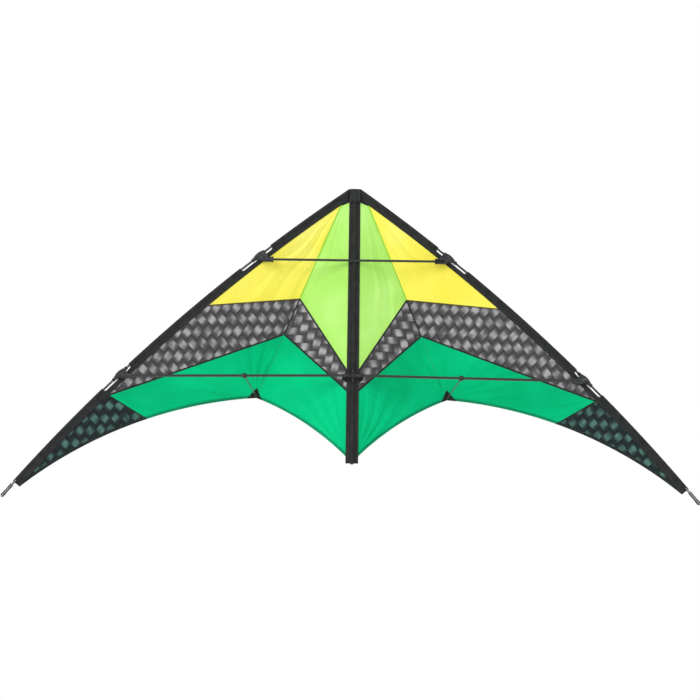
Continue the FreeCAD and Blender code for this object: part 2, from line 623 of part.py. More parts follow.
# tension cord: along the front of the nock, round its end through the slot and back behind it
CORD_FROM = size("sleeve_end") - 6.0
offset = Vector(0, size("cord_offset"), 0)
CORD_IN = 3.5
first, turn = Vector(*edge_point(CORD_FROM)), END - END_DIR * CORD_IN
route = Part.Wire([
    Part.LineSegment(first - offset, turn - offset).toShape(),
    Part.Arc(turn - offset, turn + END_DIR * size("cord_offset"), turn + offset).toShape(),
    Part.LineSegment(turn + offset, first + offset).toShape(),
])
section = Part.Wire([Part.Circle(first - offset, (turn - first).normalize(), size("cord_rad")).toShape()])
keep(feature("TipCord", route.makePipeShell([section], True, True)), "right_tip_cord")

# ---------------------------------------------------------------- left wing, checks, files

for name in [n for n in nodes if n.startswith("right_") and n != "right_upper_connector"]:
    mirror = doc.addObject("Part::Mirroring", name.replace("right_", "left_"))
    mirror.Source, mirror.Normal, mirror.Base = nodes[name], Vector(1, 0, 0), Vector()
    keep(mirror, name.replace("right_", "left_"))

doc.recompute()
for obj in doc.Objects:
    if "Invalid" in obj.State or "Error" in obj.State:
        raise RuntimeError(f"{obj.Label}: {obj.State}")
os.makedirs("parts", exist_ok=True)
for name, obj in nodes.items():
    shape = obj.Shape
    if shape.isNull() or not shape.isValid() or not shape.Solids:
        raise RuntimeError(f"{name}: null, invalid or empty shape")
    print(f"{name:26s} {len(shape.Solids)} solid(s) {shape.Volume:10.1f} mm3")
for name, obj in nodes.items():
    obj.Shape.exportStep(os.path.join("parts", name + ".step"))
print(len(nodes), "sub-parts")
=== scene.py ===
# %% [markdown]
# # A stunt kite with a delta outline
# The kite is a sail of thin cloth sewn from seven panels a side, held open by a frame of thin
# rods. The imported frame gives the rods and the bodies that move. This lesson builds the cloth, its
# seams and stitches, the sleeves and the moulded fittings around it, and gives each a finish made
# of shader nodes.

# %% Load the frame
import math

import bmesh
import bpy
import numpy as np
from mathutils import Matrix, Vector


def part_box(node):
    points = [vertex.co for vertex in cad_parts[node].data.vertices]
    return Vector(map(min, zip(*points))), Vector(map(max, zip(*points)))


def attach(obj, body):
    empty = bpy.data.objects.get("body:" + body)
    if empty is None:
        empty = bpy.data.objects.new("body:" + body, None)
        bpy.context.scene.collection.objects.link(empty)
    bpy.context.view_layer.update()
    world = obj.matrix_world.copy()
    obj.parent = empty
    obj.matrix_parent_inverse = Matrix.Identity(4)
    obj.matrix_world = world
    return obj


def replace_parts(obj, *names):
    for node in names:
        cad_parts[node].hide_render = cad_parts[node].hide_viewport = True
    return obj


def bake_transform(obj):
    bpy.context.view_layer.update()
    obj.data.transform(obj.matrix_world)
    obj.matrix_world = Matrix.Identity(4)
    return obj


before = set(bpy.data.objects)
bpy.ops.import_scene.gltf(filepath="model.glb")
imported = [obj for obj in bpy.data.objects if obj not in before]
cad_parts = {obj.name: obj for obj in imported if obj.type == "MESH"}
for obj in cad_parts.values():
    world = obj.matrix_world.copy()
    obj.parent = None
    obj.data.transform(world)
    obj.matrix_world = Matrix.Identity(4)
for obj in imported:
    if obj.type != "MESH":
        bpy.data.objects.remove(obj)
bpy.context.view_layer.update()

# %% [markdown]
# ## The lines that everything follows
# Both leading edges are arcs of one large circle, because the thin rod is bent a little by the
# sail. In the plane of the frame a point is (x, z), and y is the depth behind that plane. One wing
# is worked out, on the +X side, and the other is its mirror image, so each shape takes a `side` of
# 1 or -1.

# %% Sizes in metres
SIDES = {"right": 1, "left": -1}
EDGE_RADIUS = 4.0085
OUTER_RADIUS = 4.012
NOSE_TILT = math.radians(34.69)
NOSE_HALF = 0.012
NOSE_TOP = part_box("nose_webbing")[1].z
ARC_X = NOSE_HALF - OUTER_RADIUS * math.sin(NOSE_TILT)
ARC_Z = NOSE_TOP - OUTER_RADIUS * math.cos(NOSE_TILT)
SLEEVE_DEEP = 0.016
SLEEVE_END = 0.9885
SPINE_X = 0.012
SPINE_TOP = 0.384
DEPTH = 0.105
STANDOFF = np.array([0.215, -0.0504])
TAIL, TOP = np.array([SPINE_X, -0.181]), np.array([SPINE_X, SPINE_TOP])
CLOTH = 0.0004


def edge(along, inset=0.0):
    """Leading edge: centre + (radius - inset) * (sin a, cos a), where a = nose tilt + distance /
    radius."""
    angle = NOSE_TILT + np.asarray(along, float) / EDGE_RADIUS
    reach = EDGE_RADIUS - np.asarray(inset, float)
    return np.stack([ARC_X + reach * np.sin(angle), ARC_Z + reach * np.cos(angle)], -1)


def edge_at(x):
    """The distance along the sewn edge at which it passes a given x, read off the edge itself."""
    along = np.linspace(0, 1.0, 2001)
    return float(np.interp(x, edge(along, SLEEVE_DEEP)[:, 0], along))


def line(first, last, count=2):
    """Points at even steps: first + share * (last - first)."""
    share = np.linspace(0, 1, count)[:, None]
    return np.asarray(first) + share * (np.asarray(last) - np.asarray(first))


def arc(first, last, radius, count, start=0.0, stop=1.0):
    """Points from start to stop (shares of the whole) of the circle through both ends, its centre
    below them."""
    first, last = np.asarray(first), np.asarray(last)
    chord = last - first
    span = np.hypot(*chord)
    down = np.array([chord[1], -chord[0]]) / span
    centre = (first + last) / 2 + down * math.sqrt(radius**2 - (span / 2) ** 2)
    angles = [math.atan2(*(end - centre)[::-1]) for end in (first, last)]
    turn = angles[0] + np.linspace(start, stop, count) * (angles[1] - angles[0])
    return centre + radius * np.stack([np.cos(turn), np.sin(turn)], -1)


RIDGE_ALONG = 0.036
RIDGE_TOP = edge(RIDGE_ALONG, SLEEVE_DEEP)
TIP = edge(SLEEVE_END, SLEEVE_DEEP)
INNER_RADIUS, OUTER_TRAIL_RADIUS = 0.592, 0.940


def ridge(share):
    """The line from the nose to the standoff, where the sail stands deepest: top + share *
    (standoff - top)."""
    return RIDGE_TOP + np.asarray(share, float)[..., None] * (STANDOFF - RIDGE_TOP)


def trail_inner(count, start=0.0, stop=1.0):
    """The trailing edge from the spine to the standoff."""
    return arc(TAIL, STANDOFF, INNER_RADIUS, count, start, stop)


def trail_outer(count, start=0.0, stop=1.0):
    """The trailing edge from the standoff to the wing tip."""
    return arc(STANDOFF, TIP, OUTER_TRAIL_RADIUS, count, start, stop)


print(f"edge from {edge(0).round(3)} to {TIP.round(3)}, ridge top {RIDGE_TOP.round(3)}")

# %% [markdown]
# ## How deep the sail stands
# Each half of the sail is stretched between two lines: the spine and the ridge, or the ridge and
# the leading edge. Cloth pulled tight between two lines makes a ruled surface. So the depth at (x,
# z) is found from the straight ruling that passes through it, and that takes no simulation.

# %% Rulings of both halves
RULINGS = 321
OVER, BEYOND = 1.04, 1.3
FOOT = (SPINE_X, -0.193)
FIRST_ALONG, TURN_ALONG, LAST_ALONG, LAST_INSET = 0.035, 0.35, 0.9905, 0.026


def rulings():
    """Starts, ends and end depths of the rulings, for the inner half and the outer one. The ridge
    is carried on past the standoff by the factor OVER, so that the whole trailing edge is
    covered."""
    share = np.linspace(0, 1, RULINGS)
    low_ridge, low_depth = ridge(OVER * share), OVER * share * DEPTH
    lower = arc(low_ridge[-1], edge(LAST_ALONG, LAST_INSET), OUTER_TRAIL_RADIUS, RULINGS)
    along = np.concatenate([FIRST_ALONG + (TURN_ALONG - FIRST_ALONG) * share,
                            TURN_ALONG + (LAST_ALONG - TURN_ALONG) * share])
    deep = np.concatenate([low_depth, OVER * (1 - share) * DEPTH])
    outer = (edge(along, SLEEVE_DEEP), np.concatenate([low_ridge, lower]), deep)
    return (line(TOP, FOOT, RULINGS), low_ridge, low_depth), outer


INNER_RULINGS, OUTER_RULINGS = rulings()


def ruled_depth(flat, ruling, sense):
    """A point is on the ruling where the cross product of the ruling with the way to the point
    changes sign, in the sense in which the rulings are swept; its depth is the end's depth times
    how far along that ruling it is."""
    starts, ends, deep = ruling
    run = ends - starts
    way = flat[:, None, :] - starts
    turn = sense * (run[:, 0] * way[..., 1] - run[:, 1] * way[..., 0])
    first = ((turn[:, :-1] <= 0) & (turn[:, 1:] > 0)).argmax(1)
    rows = np.arange(len(flat))
    before, after = turn[rows, first], turn[rows, first + 1]
    part = np.clip(before / np.where(before == after, 1, before - after), 0, 1)[:, None]
    start = starts[first] + part * (starts[first + 1] - starts[first])
    end = ends[first] + part * (ends[first + 1] - ends[first])
    deepest = deep[first] + part[:, 0] * (deep[first + 1] - deep[first])
    reach = np.maximum(((end - start) ** 2).sum(1), 1e-9)
    return np.clip(((flat - start) * (end - start)).sum(1) / reach, 0, BEYOND) * deepest


def sail_depth(flat):
    """Depth of the unwrinkled sail: the inner half's on the spine's side of the ridge, the outer
    half's beyond."""
    points = np.asarray(flat, float).reshape(-1, 2)
    along = STANDOFF - RIDGE_TOP
    off = points - RIDGE_TOP
    outside = along[0] * off[:, 1] - along[1] * off[:, 0] > 0
    inner, outer = ruled_depth(points, INNER_RULINGS, 1), ruled_depth(points, OUTER_RULINGS, -1)
    return np.where(outside, outer, inner).reshape(np.shape(flat)[:-1])


print("depth at the standoff and the tip:", sail_depth(np.array([STANDOFF, TIP])).round(4))

# %% [markdown]
# ## Folds in the cloth
# Cloth shows where it is pulled: fans of soft folds spread from the corners that carry the load,
# which are the nose, the standoff, the foot of the spine and the lower fitting. Each fan is a sine
# wave across the angle about its corner, faded in and out. One function gives them for every
# panel, so neighbours stay joined.

# %% Fans of folds
# centre x and z, reach, first and last angle in degrees, number of folds, height
FANS = [
    (0.018, 0.400, 0.42, -88, -38, 5.0, 0.0012),
    (0.215, -0.045, 0.17, 28, 168, 7.5, 0.0013),
    (0.215, -0.045, 0.26, -24, 34, 4.5, 0.0012),
    (0.012, -0.181, 0.21, 22, 96, 6.0, 0.0016),
    (0.012, -0.020, 0.17, -62, 24, 4.5, 0.0010),
    (0.541, -0.050, 0.22, 168, 246, 4.5, 0.0010),
    (0.541, -0.050, 0.24, 118, 178, 3.5, 0.0006),
    (0.210, 0.262, 0.20, 190, 300, 4.0, 0.0004),
    (0.740, -0.225, 0.30, 120, 172, 3.0, 0.0006),
]
SWELL = 0.0005


def smooth(low, high, value):
    """0 below low, 1 above high, and 3t^2 - 2t^3 between."""
    share = np.clip((value - low) / (high - low), 0, 1)
    return share * share * (3 - 2 * share)


def folds(flat, side):
    """Sum of the fans, and of a slow swell, faded out where tape or sleeve holds the cloth
    flat."""
    x, z = flat[..., 0], flat[..., 1]
    height = SWELL * np.sin(23 * x + 31 * z + side) * np.sin(41 * x - 17 * z + 2 * side)
    for number, (cx, cz, reach, first, last, count, tall) in enumerate(FANS):
        away = np.hypot(x - cx, z - cz)
        angle = np.degrees(np.arctan2(z - cz, x - cx))
        share = (np.mod(angle - first, 360)) / (last - first)
        across = smooth(0, 0.18, share) * (1 - smooth(0.82, 1, share))
        along = smooth(0.02 * reach, 0.3 * reach, away) * (1 - smooth(0.45 * reach, reach, away))
        wander = 0.9 * np.sin(away / 0.045 + number * 1.7 + side) + 0.5 * np.sin(away / 0.019 - number)
        wave = 2 * math.pi * count * share + wander + number * (2.1 + 0.4 * side)
        height = height + tall * across * along * (np.sin(wave) + 0.35 * np.sin(2.3 * wave + side))
    inside = EDGE_RADIUS - np.hypot(x - ARC_X, z - ARC_Z) - SLEEVE_DEEP
    return height * smooth(0.0005, 0.018, inside) * smooth(SPINE_X + 0.001, SPINE_X + 0.016, x)


def on_sail(flat, side, lift=0.0, depth=None):
    """(x, z) put on the sail: (side * x, depth + folds - lift, z)."""
    deep = sail_depth(flat) if depth is None else depth
    return np.stack([side * flat[..., 0], deep + folds(flat, side) - lift, flat[..., 1]], -1)


print("folds: fans", len(FANS), "and the swell")

# %% [markdown]
# ## From arrays to meshes
# A grid of points becomes a mesh of four-sided faces in one step. A piece may be made of several
# grids. The mirrored side turns its faces round, so that they still point out of the front of the
# sail.

# %% Mesh helpers
def grid_faces(rows, columns, first, wraps, flipped):
    """Corners of the face at (i, j): (i, j), (i, j+1), (i+1, j+1), (i+1, j)."""
    index = first + np.arange(rows * columns).reshape(rows, columns)
    if wraps:
        index = np.column_stack([index, index[:, 0]])
    corners = [index[:-1, :-1], index[:-1, 1:], index[1:, 1:], index[1:, :-1]]
    faces = np.stack(corners, -1).reshape(-1, 4)
    return faces[:, ::-1] if flipped else faces


def added(name, data):
    """A new object in the scene."""
    made = bpy.data.objects.new(name, data)
    bpy.context.scene.collection.objects.link(made)
    return made


def build(name, grids, wraps=False, flipped=False, closed=False, wall=0.0):
    """One object from grids of points (rows, columns, 3). Closed shapes have their normals worked
    out again, and an open one gets a wall on both sides of its surface."""
    points = np.concatenate([grid.reshape(-1, 3) for grid in grids])
    firsts = np.cumsum([0] + [grid.shape[0] * grid.shape[1] for grid in grids])
    faces = np.concatenate([grid_faces(*grid.shape[:2], first, wraps, flipped)
                            for grid, first in zip(grids, firsts)])
    mesh = bpy.data.meshes.new(name)
    mesh.from_pydata(points.tolist(), [], faces.tolist())
    shape = bmesh.new()
    shape.from_mesh(mesh)
    bmesh.ops.remove_doubles(shape, verts=shape.verts, dist=2e-6)
    bmesh.ops.dissolve_degenerate(shape, edges=shape.edges, dist=1e-7)
    if closed:
        bmesh.ops.recalc_face_normals(shape, faces=shape.faces)
    shape.to_mesh(mesh)
    shape.free()
    mesh.polygons.foreach_set("use_smooth", np.ones(len(mesh.polygons), bool))
    piece = added(name, mesh)
    if wall:
        solid = piece.modifiers.new("wall", "SOLIDIFY")
        solid.thickness, solid.offset = wall, 0.0
    return piece


def dress(piece, material, slot, body=None, *nodes):
    """Gives a piece its finish, the body it rides on and the CAD nodes it stands for. The slot is not
    used."""
    piece.data.materials.clear()
    piece.data.materials.append(material)
    if body:
        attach(piece, body)
    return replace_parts(piece, *nodes) if nodes else piece


def coons(low, high, left, right):
    """Coons patch: the blend of low and high, plus the blend of left and right, less the blend of
    the corners."""
    u = np.linspace(0, 1, len(low))[None, :, None]
    v = np.linspace(0, 1, len(left))[:, None, None]
    across = (1 - v) * low[None] + v * high[None]
    up = (1 - u) * left[:, None] + u * right[:, None]
    corners = (1 - v) * ((1 - u) * low[0] + u * low[-1]) + v * ((1 - u) * high[0] + u * high[-1])
    return across + up - corners


def area_of(grid):
    """Sum over the cells of half the length of the cross product of their diagonals."""
    first = grid[1:, 1:] - grid[:-1, :-1]
    second = grid[1:, :-1] - grid[:-1, 1:]
    return float(np.linalg.norm(np.cross(first, second), axis=-1).sum() / 2)


def run_of(points):
    """Length of a line of points."""
    return float(np.linalg.norm(np.diff(points, axis=0), axis=1).sum())


def spans(grid):
    """Width and length of a grid: the longer of each pair of opposite sides."""
    return max(run_of(grid[0]), run_of(grid[-1])), max(run_of(grid[:, 0]), run_of(grid[:, -1]))


print("test patch, 1 by 1:", area_of(np.array([[(0, 0, 0), (1, 0, 0)], [(0, 0, 1), (1, 0, 1)]])))

# %% [markdown]
# ## Finishes
# A finish is one Principled shader with its pattern worked out from the piece's own coordinates,
# in metres. The small class below keeps each finish short: it makes a node, links what it is given
# and hands back the result.

# %% Shader helpers
def shade(colour):
    """A screen colour, three numbers from 0 to 255, as the linear colour that shaders use."""
    share = np.array(colour) / 255
    linear = np.where(share <= 0.04045, share / 12.92, ((share + 0.055) / 1.055) ** 2.4)
    return (*linear.tolist(), 1.0)


class Finish:
    """A material under construction."""

    def __init__(self, name, **sockets):
        self.material = bpy.data.materials.new(name)
        self.material.use_nodes = True
        self.tree = self.material.node_tree
        self.shader = self.tree.nodes["Principled BSDF"]
        for socket, value in sockets.items():
            self.shader.inputs[socket.replace("_", " ")].default_value = value
        self.place = self.node("TexCoord").outputs["Object"]

    def node(self, kind, inputs=None, **settings):
        """Adds a node, with its settings and its inputs: plain values, or outputs to link."""
        made = self.tree.nodes.new("ShaderNode" + kind)
        for setting, value in settings.items():
            setattr(made, setting, value)
        for socket, value in (inputs or {}).items():
            if isinstance(value, bpy.types.NodeSocket):
                self.tree.links.new(value, made.inputs[socket])
            else:
                made.inputs[socket].default_value = value
        return made

    def maths(self, operation, *values):
        """One step of arithmetic."""
        return self.node("Math", dict(enumerate(values)), operation=operation).outputs[0]

    def noise(self, scale, detail=3.0, place=None):
        """Cloudy noise from 0 to 1, `scale` clouds to a metre."""
        inputs = {"Vector": place or self.place, "Scale": scale, "Detail": detail}
        return self.node("TexNoise", inputs).outputs[0]

    def ramp(self, factor, *stops):
        """A colour read off (position, screen colour) stops."""
        made = self.node("ValToRGB", {"Fac": factor})
        elements = made.color_ramp.elements
        while len(elements) < len(stops):
            elements.new(0.5)
        for element, (position, colour) in zip(elements, stops):
            element.position, element.color = position, shade(colour)
        return made.outputs[0]

    def mix(self, factor, first, second):
        """A node's colour with a share of a screen colour over it."""
        return self.node("Mix", {0: factor, 6: first, 7: shade(second)}, data_type="RGBA").outputs[2]

    def turned(self, angle):
        """The piece's coordinates turned about Y, in degrees."""
        turn = (0, math.radians(angle), 0)
        return self.node("Mapping", {"Vector": self.place, "Rotation": turn}).outputs[0]

    def split(self, place=None):
        """X, Y and Z apart."""
        return self.node("SeparateXYZ", {0: place or self.place}).outputs

    def threads(self, pitch, place=None):
        """A plain weave: the larger of two sine waves across X and Z, each one thread wide."""
        x, _, z = self.split(place)
        waves = [self.maths("SINE", self.maths("MULTIPLY", way, 2 * math.pi / pitch)) for way in (x, z)]
        return self.maths("MULTIPLY", self.maths("ADD", self.maths("MAXIMUM", *waves), 1.0), 0.5)

    def ripstop(self, pitch, width):
        """1 on the lines of a square grid and 0 between them."""
        x, _, z = self.split()
        near = [self.maths("PINGPONG", way, pitch / 2) for way in (x, z)]
        return self.maths("LESS_THAN", self.maths("MINIMUM", *near), width / 2)

    def finished(self, colour, rough, *relief):
        """Links the colour, the roughness (factor, low, high) and the bumps (height, metres), one
        on another."""
        links, sockets = self.tree.links, self.shader.inputs
        links.new(colour, sockets["Base Color"])
        level = self.node("MapRange", {"Value": rough[0], "To Min": rough[1], "To Max": rough[2]})
        links.new(level.outputs[0], sockets["Roughness"])
        normal = {}
        for height, distance in relief:
            bump = self.node("Bump", {"Height": height, "Distance": distance, "Strength": 1.0, **normal})
            normal = {"Normal": bump.outputs[0]}
        if normal:
            links.new(normal["Normal"], sockets["Normal"])
        return self.material


print("a middle grey of 128 is", round(shade((128, 128, 128))[0], 3), "to the shader")

# %% [markdown]
# ## Sail cloth
# The bright panels are light ripstop cloth: a very fine plain weave with a heavier thread every
# few millimetres, and a little gloss from its coating. The colour wanders slightly, as dyed cloth
# does. The grey panels are printed with a large basket pattern: slanted bricks in a herringbone,
# each bright in its middle and dark at its ends, so that it seems to dive under the next.

# %% Plain sail cloth
def sail_cloth(name, dark, main, light):
    """Coated ripstop: three shades of one dye on cloudy noise, heavier threads on a 5 mm grid."""
    cloth = Finish(name, Specular_IOR_Level=0.04)
    dyed = cloth.ramp(cloth.noise(6.5, 2.0), (0.34, dark), (0.5, main), (0.68, light))
    heavy = cloth.ripstop(0.005, 0.0004)
    colour = cloth.mix(cloth.maths("MULTIPLY", heavy, 0.22), dyed, dark)
    return cloth.finished(colour, (cloth.noise(40.0), 0.42, 0.58), (heavy, 0.00006),
                          (cloth.threads(0.0007), 0.00003), (cloth.noise(55.0), 0.0006))


LIME = sail_cloth("lime_cloth", (172, 232, 104), (182, 239, 118), (197, 247, 146))
YELLOW = sail_cloth("yellow_cloth", (250, 236, 84), (255, 244, 98), (255, 248, 124))
GREEN = sail_cloth("green_cloth", (0, 174, 112), (0, 190, 124), (2, 203, 134))
HEM = sail_cloth("hem_cloth", (2, 128, 86), (4, 140, 95), (8, 152, 104))
LIME_SEAM = sail_cloth("lime_seam_cloth", (150, 212, 60), (164, 222, 72), (176, 230, 92))
print("dyed cloths:", len(bpy.data.materials))

# %% Printed basket cloth
BRICK = 0.0172
LEAN_X, LEAN_Z = 0.65, 0.76


def basket_cloth(name, turn, stops, tint):
    """Herringbone of bricks one by two. With a and b measured along the two slants, in bricks,
    k = (floor a - floor b) mod 4 tells the brick: k < 2 leans right, else left.
    Light = sin(pi * length along it) ^ 1.6 * rise at its edge."""
    cloth = Finish(name, Specular_IOR_Level=0.16)
    m = cloth.maths
    x, _, z = cloth.split(cloth.turned(turn))
    across, up = m("DIVIDE", x, 2 * LEAN_X * BRICK), m("DIVIDE", z, 2 * LEAN_Z * BRICK)
    a, b = m("ADD", across, up), m("SUBTRACT", across, up)
    a_in, b_in = m("FRACT", a), m("FRACT", b)
    apart = m("SUBTRACT", m("FLOOR", a), m("FLOOR", b))
    k = m("FLOORED_MODULO", m("ROUND", apart), 4.0)
    right = m("LESS_THAN", k, 1.5)
    left = m("SUBTRACT", 1.0, right)

    def either(for_right, for_left):
        return m("ADD", m("MULTIPLY", right, for_right), m("MULTIPLY", left, for_left))

    length = m("MULTIPLY", either(m("ADD", a_in, k), m("ADD", b_in, m("SUBTRACT", 3.0, k))), 0.5)
    width = either(b_in, a_in)
    middle = m("POWER", m("SINE", m("MULTIPLY", length, math.pi)), 1.6)
    rim = m("MULTIPLY", m("MINIMUM", width, m("SUBTRACT", 1.0, width)), 7.0)
    light = m("MULTIPLY", middle, m("MULTIPLY_ADD", m("MINIMUM", rim, 1.0), 0.3, 0.7))
    uneven = m("MULTIPLY_ADD", cloth.noise(48.0), 1.5, 0.12)
    printed = cloth.ramp(m("MULTIPLY", light, uneven), *stops)
    colour = cloth.mix(m("MULTIPLY", cloth.noise(28.0), 0.2), printed, tint)
    return cloth.finished(colour, (cloth.noise(40.0), 0.45, 0.62), (light, 0.0002),
                          (cloth.threads(0.0009), 0.00003), (cloth.noise(55.0), 0.0006))


GREY = (((0.04, (62, 61, 61)), (0.5, (92, 90, 91)), (1.0, (178, 177, 179))), (98, 88, 100))
DARK = (((0.04, (20, 30, 30)), (0.5, (34, 52, 50)), (1.0, (84, 126, 116))), (44, 46, 62))
PRINTS = (("weave_outer", -3, GREY), ("weave_inner", 52, GREY), ("tip_panel", -3, DARK))
BASKET = {(part, side): basket_cloth(f"{side}_{part}_cloth", SIDES[side] * turn, *stops_and_tint)
          for part, turn, stops_and_tint in PRINTS for side in SIDES}
print("printed cloths:", len(BASKET))

# %% [markdown]
# ## Black trim
# Tape, sleeves and webbing are all black polyester, and differ in the size of their weave. Black
# cloth is never really black: it shows by a faint sheen and by dust caught in the threads. Rubber,
# nylon mouldings and the pultruded rods are told apart by their gloss.

# %% Trim, rubber, nylon and rods
def black_cloth(name, dark, light, pitch, turn=0.0):
    """Woven trim: a plain weave of the given pitch, with cloudy dust."""
    cloth = Finish(name, Sheen_Weight=0.06, Sheen_Roughness=0.4, Specular_IOR_Level=0.2)
    weave = cloth.threads(pitch, cloth.turned(turn))
    dusty = cloth.ramp(cloth.noise(60.0, 5.0), (0.36, dark), (0.7, light))
    colour = cloth.mix(cloth.maths("MULTIPLY", weave, 0.35), dusty, light)
    return cloth.finished(colour, (cloth.noise(90.0), 0.62, 0.85), (weave, 0.00012),
                          (cloth.noise(45.0), 0.0008))


def moulded_finish(name, dark, light, rough_low, rough_high, grain):
    """Moulded nylon or rubber: fine grain, and paler scuffs where noise is highest."""
    nylon = Finish(name, Specular_IOR_Level=0.5)
    scuff = nylon.noise(160.0, 6.0)
    colour = nylon.ramp(scuff, (0.45, dark), (0.72, light))
    return nylon.finished(colour, (scuff, rough_low, rough_high), (nylon.noise(grain, 2.0), 0.00012))


def rod_finish(name, dark, light):
    """Pultruded fibreglass: long thin streaks along the rod under a clear skin."""
    rod = Finish(name, Coat_Weight=0.4, Coat_Roughness=0.12, Specular_IOR_Level=0.5)
    streaks = rod.node("Mapping", {"Vector": rod.place, "Scale": (0.15, 6.0, 4.0)}).outputs[0]
    fibres = rod.noise(260.0, 4.0, streaks)
    colour = rod.ramp(fibres, (0.35, dark), (0.7, light))
    return rod.finished(colour, (fibres, 0.22, 0.4), (fibres, 0.00004))


def thread_finish(name, dark, light):
    """Twisted thread or braid: fine slanting stripes."""
    thread = Finish(name, Sheen_Weight=0.3)
    stripes = thread.node("TexWave", {"Vector": thread.turned(35), "Scale": 900.0}).outputs[1]
    colour = thread.ramp(stripes, (0.2, dark), (0.8, light))
    return thread.finished(colour, (stripes, 0.55, 0.75), (stripes, 0.0001))


SLEEVE_CLOTH = black_cloth("sleeve_cloth", (30, 32, 31), (46, 49, 46), 0.0011, 40)
TAPE_CLOTH = black_cloth("tape_cloth", (32, 33, 32), (48, 50, 48), 0.0012)
PATCH_CLOTH = black_cloth("patch_cloth", (20, 22, 21), (32, 34, 33), 0.0012)
SEAM_CLOTH = black_cloth("dark_seam_cloth", (20, 30, 27), (36, 48, 43), 0.0009)
OLIVE_CLOTH = black_cloth("olive_seam_cloth", (66, 58, 22), (104, 92, 34), 0.0009)
WEBBING = black_cloth("webbing_cloth", (30, 31, 31), (50, 52, 51), 0.0022)
RUBBER = moulded_finish("rubber", (20, 21, 21), (52, 54, 53), 0.55, 0.8, 900.0)
NYLON = moulded_finish("nylon", (26, 28, 28), (58, 62, 60), 0.34, 0.55, 1400.0)
ROD = rod_finish("fibreglass_rod", (18, 22, 21), (44, 50, 48))
BLACK_THREAD = thread_finish("black_thread", (14, 15, 15), (56, 58, 58))
LIME_THREAD = thread_finish("lime_thread", (140, 200, 60), (190, 238, 120))
GREEN_THREAD = thread_finish("green_thread", (4, 120, 80), (30, 190, 130))
CORD = thread_finish("tip_cord_braid", (84, 86, 84), (214, 216, 213))
print("finishes:", len(bpy.data.materials))

# %% [markdown]
# ## The panels
# Each panel is bounded by four lines in the plane of the frame: seams, the spine, the sleeve or
# the trailing edge. A Coons patch fills the outline with a grid, and the grid is then put at the
# sail's depth. Because the depth and the folds are the same functions for every panel, two panels
# meet exactly along their seam.

# %% Corners of the panels
LIME_LOW, WEAVE_LOW = np.array([SPINE_X, 0.009]), np.array([SPINE_X, -0.034])
J1, J2 = ridge(np.array(0.483)), ridge(np.array(0.667))
NOSE_ALONG, YELLOW_ALONG, GREEN_ALONG = 0.040, edge_at(0.322), edge_at(0.541)
YELLOW_EDGE, GREEN_EDGE = edge(YELLOW_ALONG, SLEEVE_DEEP), edge(GREEN_ALONG, SLEEVE_DEEP)
SHARES = np.linspace(0, 1, 501)
TIP_SHARE, TIP_STOP = float(np.interp(0.458, trail_outer(501)[:, 0], SHARES)), 0.995
TIP_LOW = trail_outer(2, TIP_SHARE, 1)[0]
TIP_ALONG = SLEEVE_END - 0.004
FINE, ROUGH_COUNT = 0.0034, 40


def steps(*lines):
    """How many points a side needs, at the cloth's fine spacing."""
    return max(int(max(run_of(points) for points in lines) / FINE) + 2, 6)


def straight(first, last):
    """A straight side, as a function of its number of points."""
    return lambda count: line(first, last, count)


def sewn_edge(start, stop):
    """A stretch of the sleeve's sewn edge, as a function of its number of points."""
    return lambda count: edge(np.linspace(start, stop, count), SLEEVE_DEEP)


def trailing(start, stop):
    """A stretch of the outer trailing edge, as a function of its number of points."""
    return lambda count: trail_outer(count, start, stop)


print("seams meet the ridge at", J1.round(3), "and", J2.round(3))

# %% Build the panels
# finish (None for the printed cloth of its side), slot, and the low, high, left and right line
PANELS = {
    "lime_panel": (LIME, "cloth_lime", straight(LIME_LOW, J1), straight(TOP, RIDGE_TOP),
                   straight(LIME_LOW, TOP), straight(J1, RIDGE_TOP)),
    "weave_inner": (None, "cloth_grey_weave", straight(WEAVE_LOW, J2), straight(LIME_LOW, J1),
                    straight(WEAVE_LOW, LIME_LOW), straight(J2, J1)),
    "green_inner": (GREEN, "cloth_green", trail_inner, straight(WEAVE_LOW, J2),
                    straight(TAIL, WEAVE_LOW), straight(STANDOFF, J2)),
    "yellow_panel": (YELLOW, "cloth_yellow", straight(J1, YELLOW_EDGE),
                     straight(RIDGE_TOP, edge(NOSE_ALONG, SLEEVE_DEEP)),
                     straight(J1, RIDGE_TOP), sewn_edge(YELLOW_ALONG, NOSE_ALONG)),
    "weave_outer": (None, "cloth_grey_weave", straight(J2, GREEN_EDGE), straight(J1, YELLOW_EDGE),
                    straight(J2, J1), sewn_edge(GREEN_ALONG, YELLOW_ALONG)),
    "green_outer": (GREEN, "cloth_green", trailing(0, TIP_SHARE), straight(J2, GREEN_EDGE),
                    straight(STANDOFF, J2), straight(TIP_LOW, GREEN_EDGE)),
    "tip_panel": (None, "cloth_dark_weave", trailing(TIP_SHARE, TIP_STOP),
                  sewn_edge(GREEN_ALONG, TIP_ALONG), straight(TIP_LOW, GREEN_EDGE),
                  straight(trail_outer(2, 0, TIP_STOP)[1], edge(TIP_ALONG, SLEEVE_DEEP))),
}
panels, cuts = {}, {}
for part, (finish, slot, *sides) in PANELS.items():
    low, high, left, right = (side_of(ROUGH_COUNT) for side_of in sides)
    columns, rows = steps(low, high), steps(left, right)
    flat = coons(*(side_of(count) for side_of, count in zip(sides, (columns, columns, rows, rows))))
    depth = sail_depth(flat)
    for side, sign in SIDES.items():
        grid = on_sail(flat, sign, depth=depth)
        panel = build(f"{side}_{part}_cloth", [grid], flipped=sign < 0, wall=CLOTH)
        dress(panel, finish or BASKET[part, side], slot, f"{side}_wing", f"{side}_{part}")
        panels[side, part], cuts[side, part] = panel, (*spans(grid), area_of(grid))
    width, length, area = cuts["right", part]
    print(f"{part}: {rows} x {columns} points, cut {width:.3f} x {length:.3f} m, {area * 1e4:.0f} cm2")

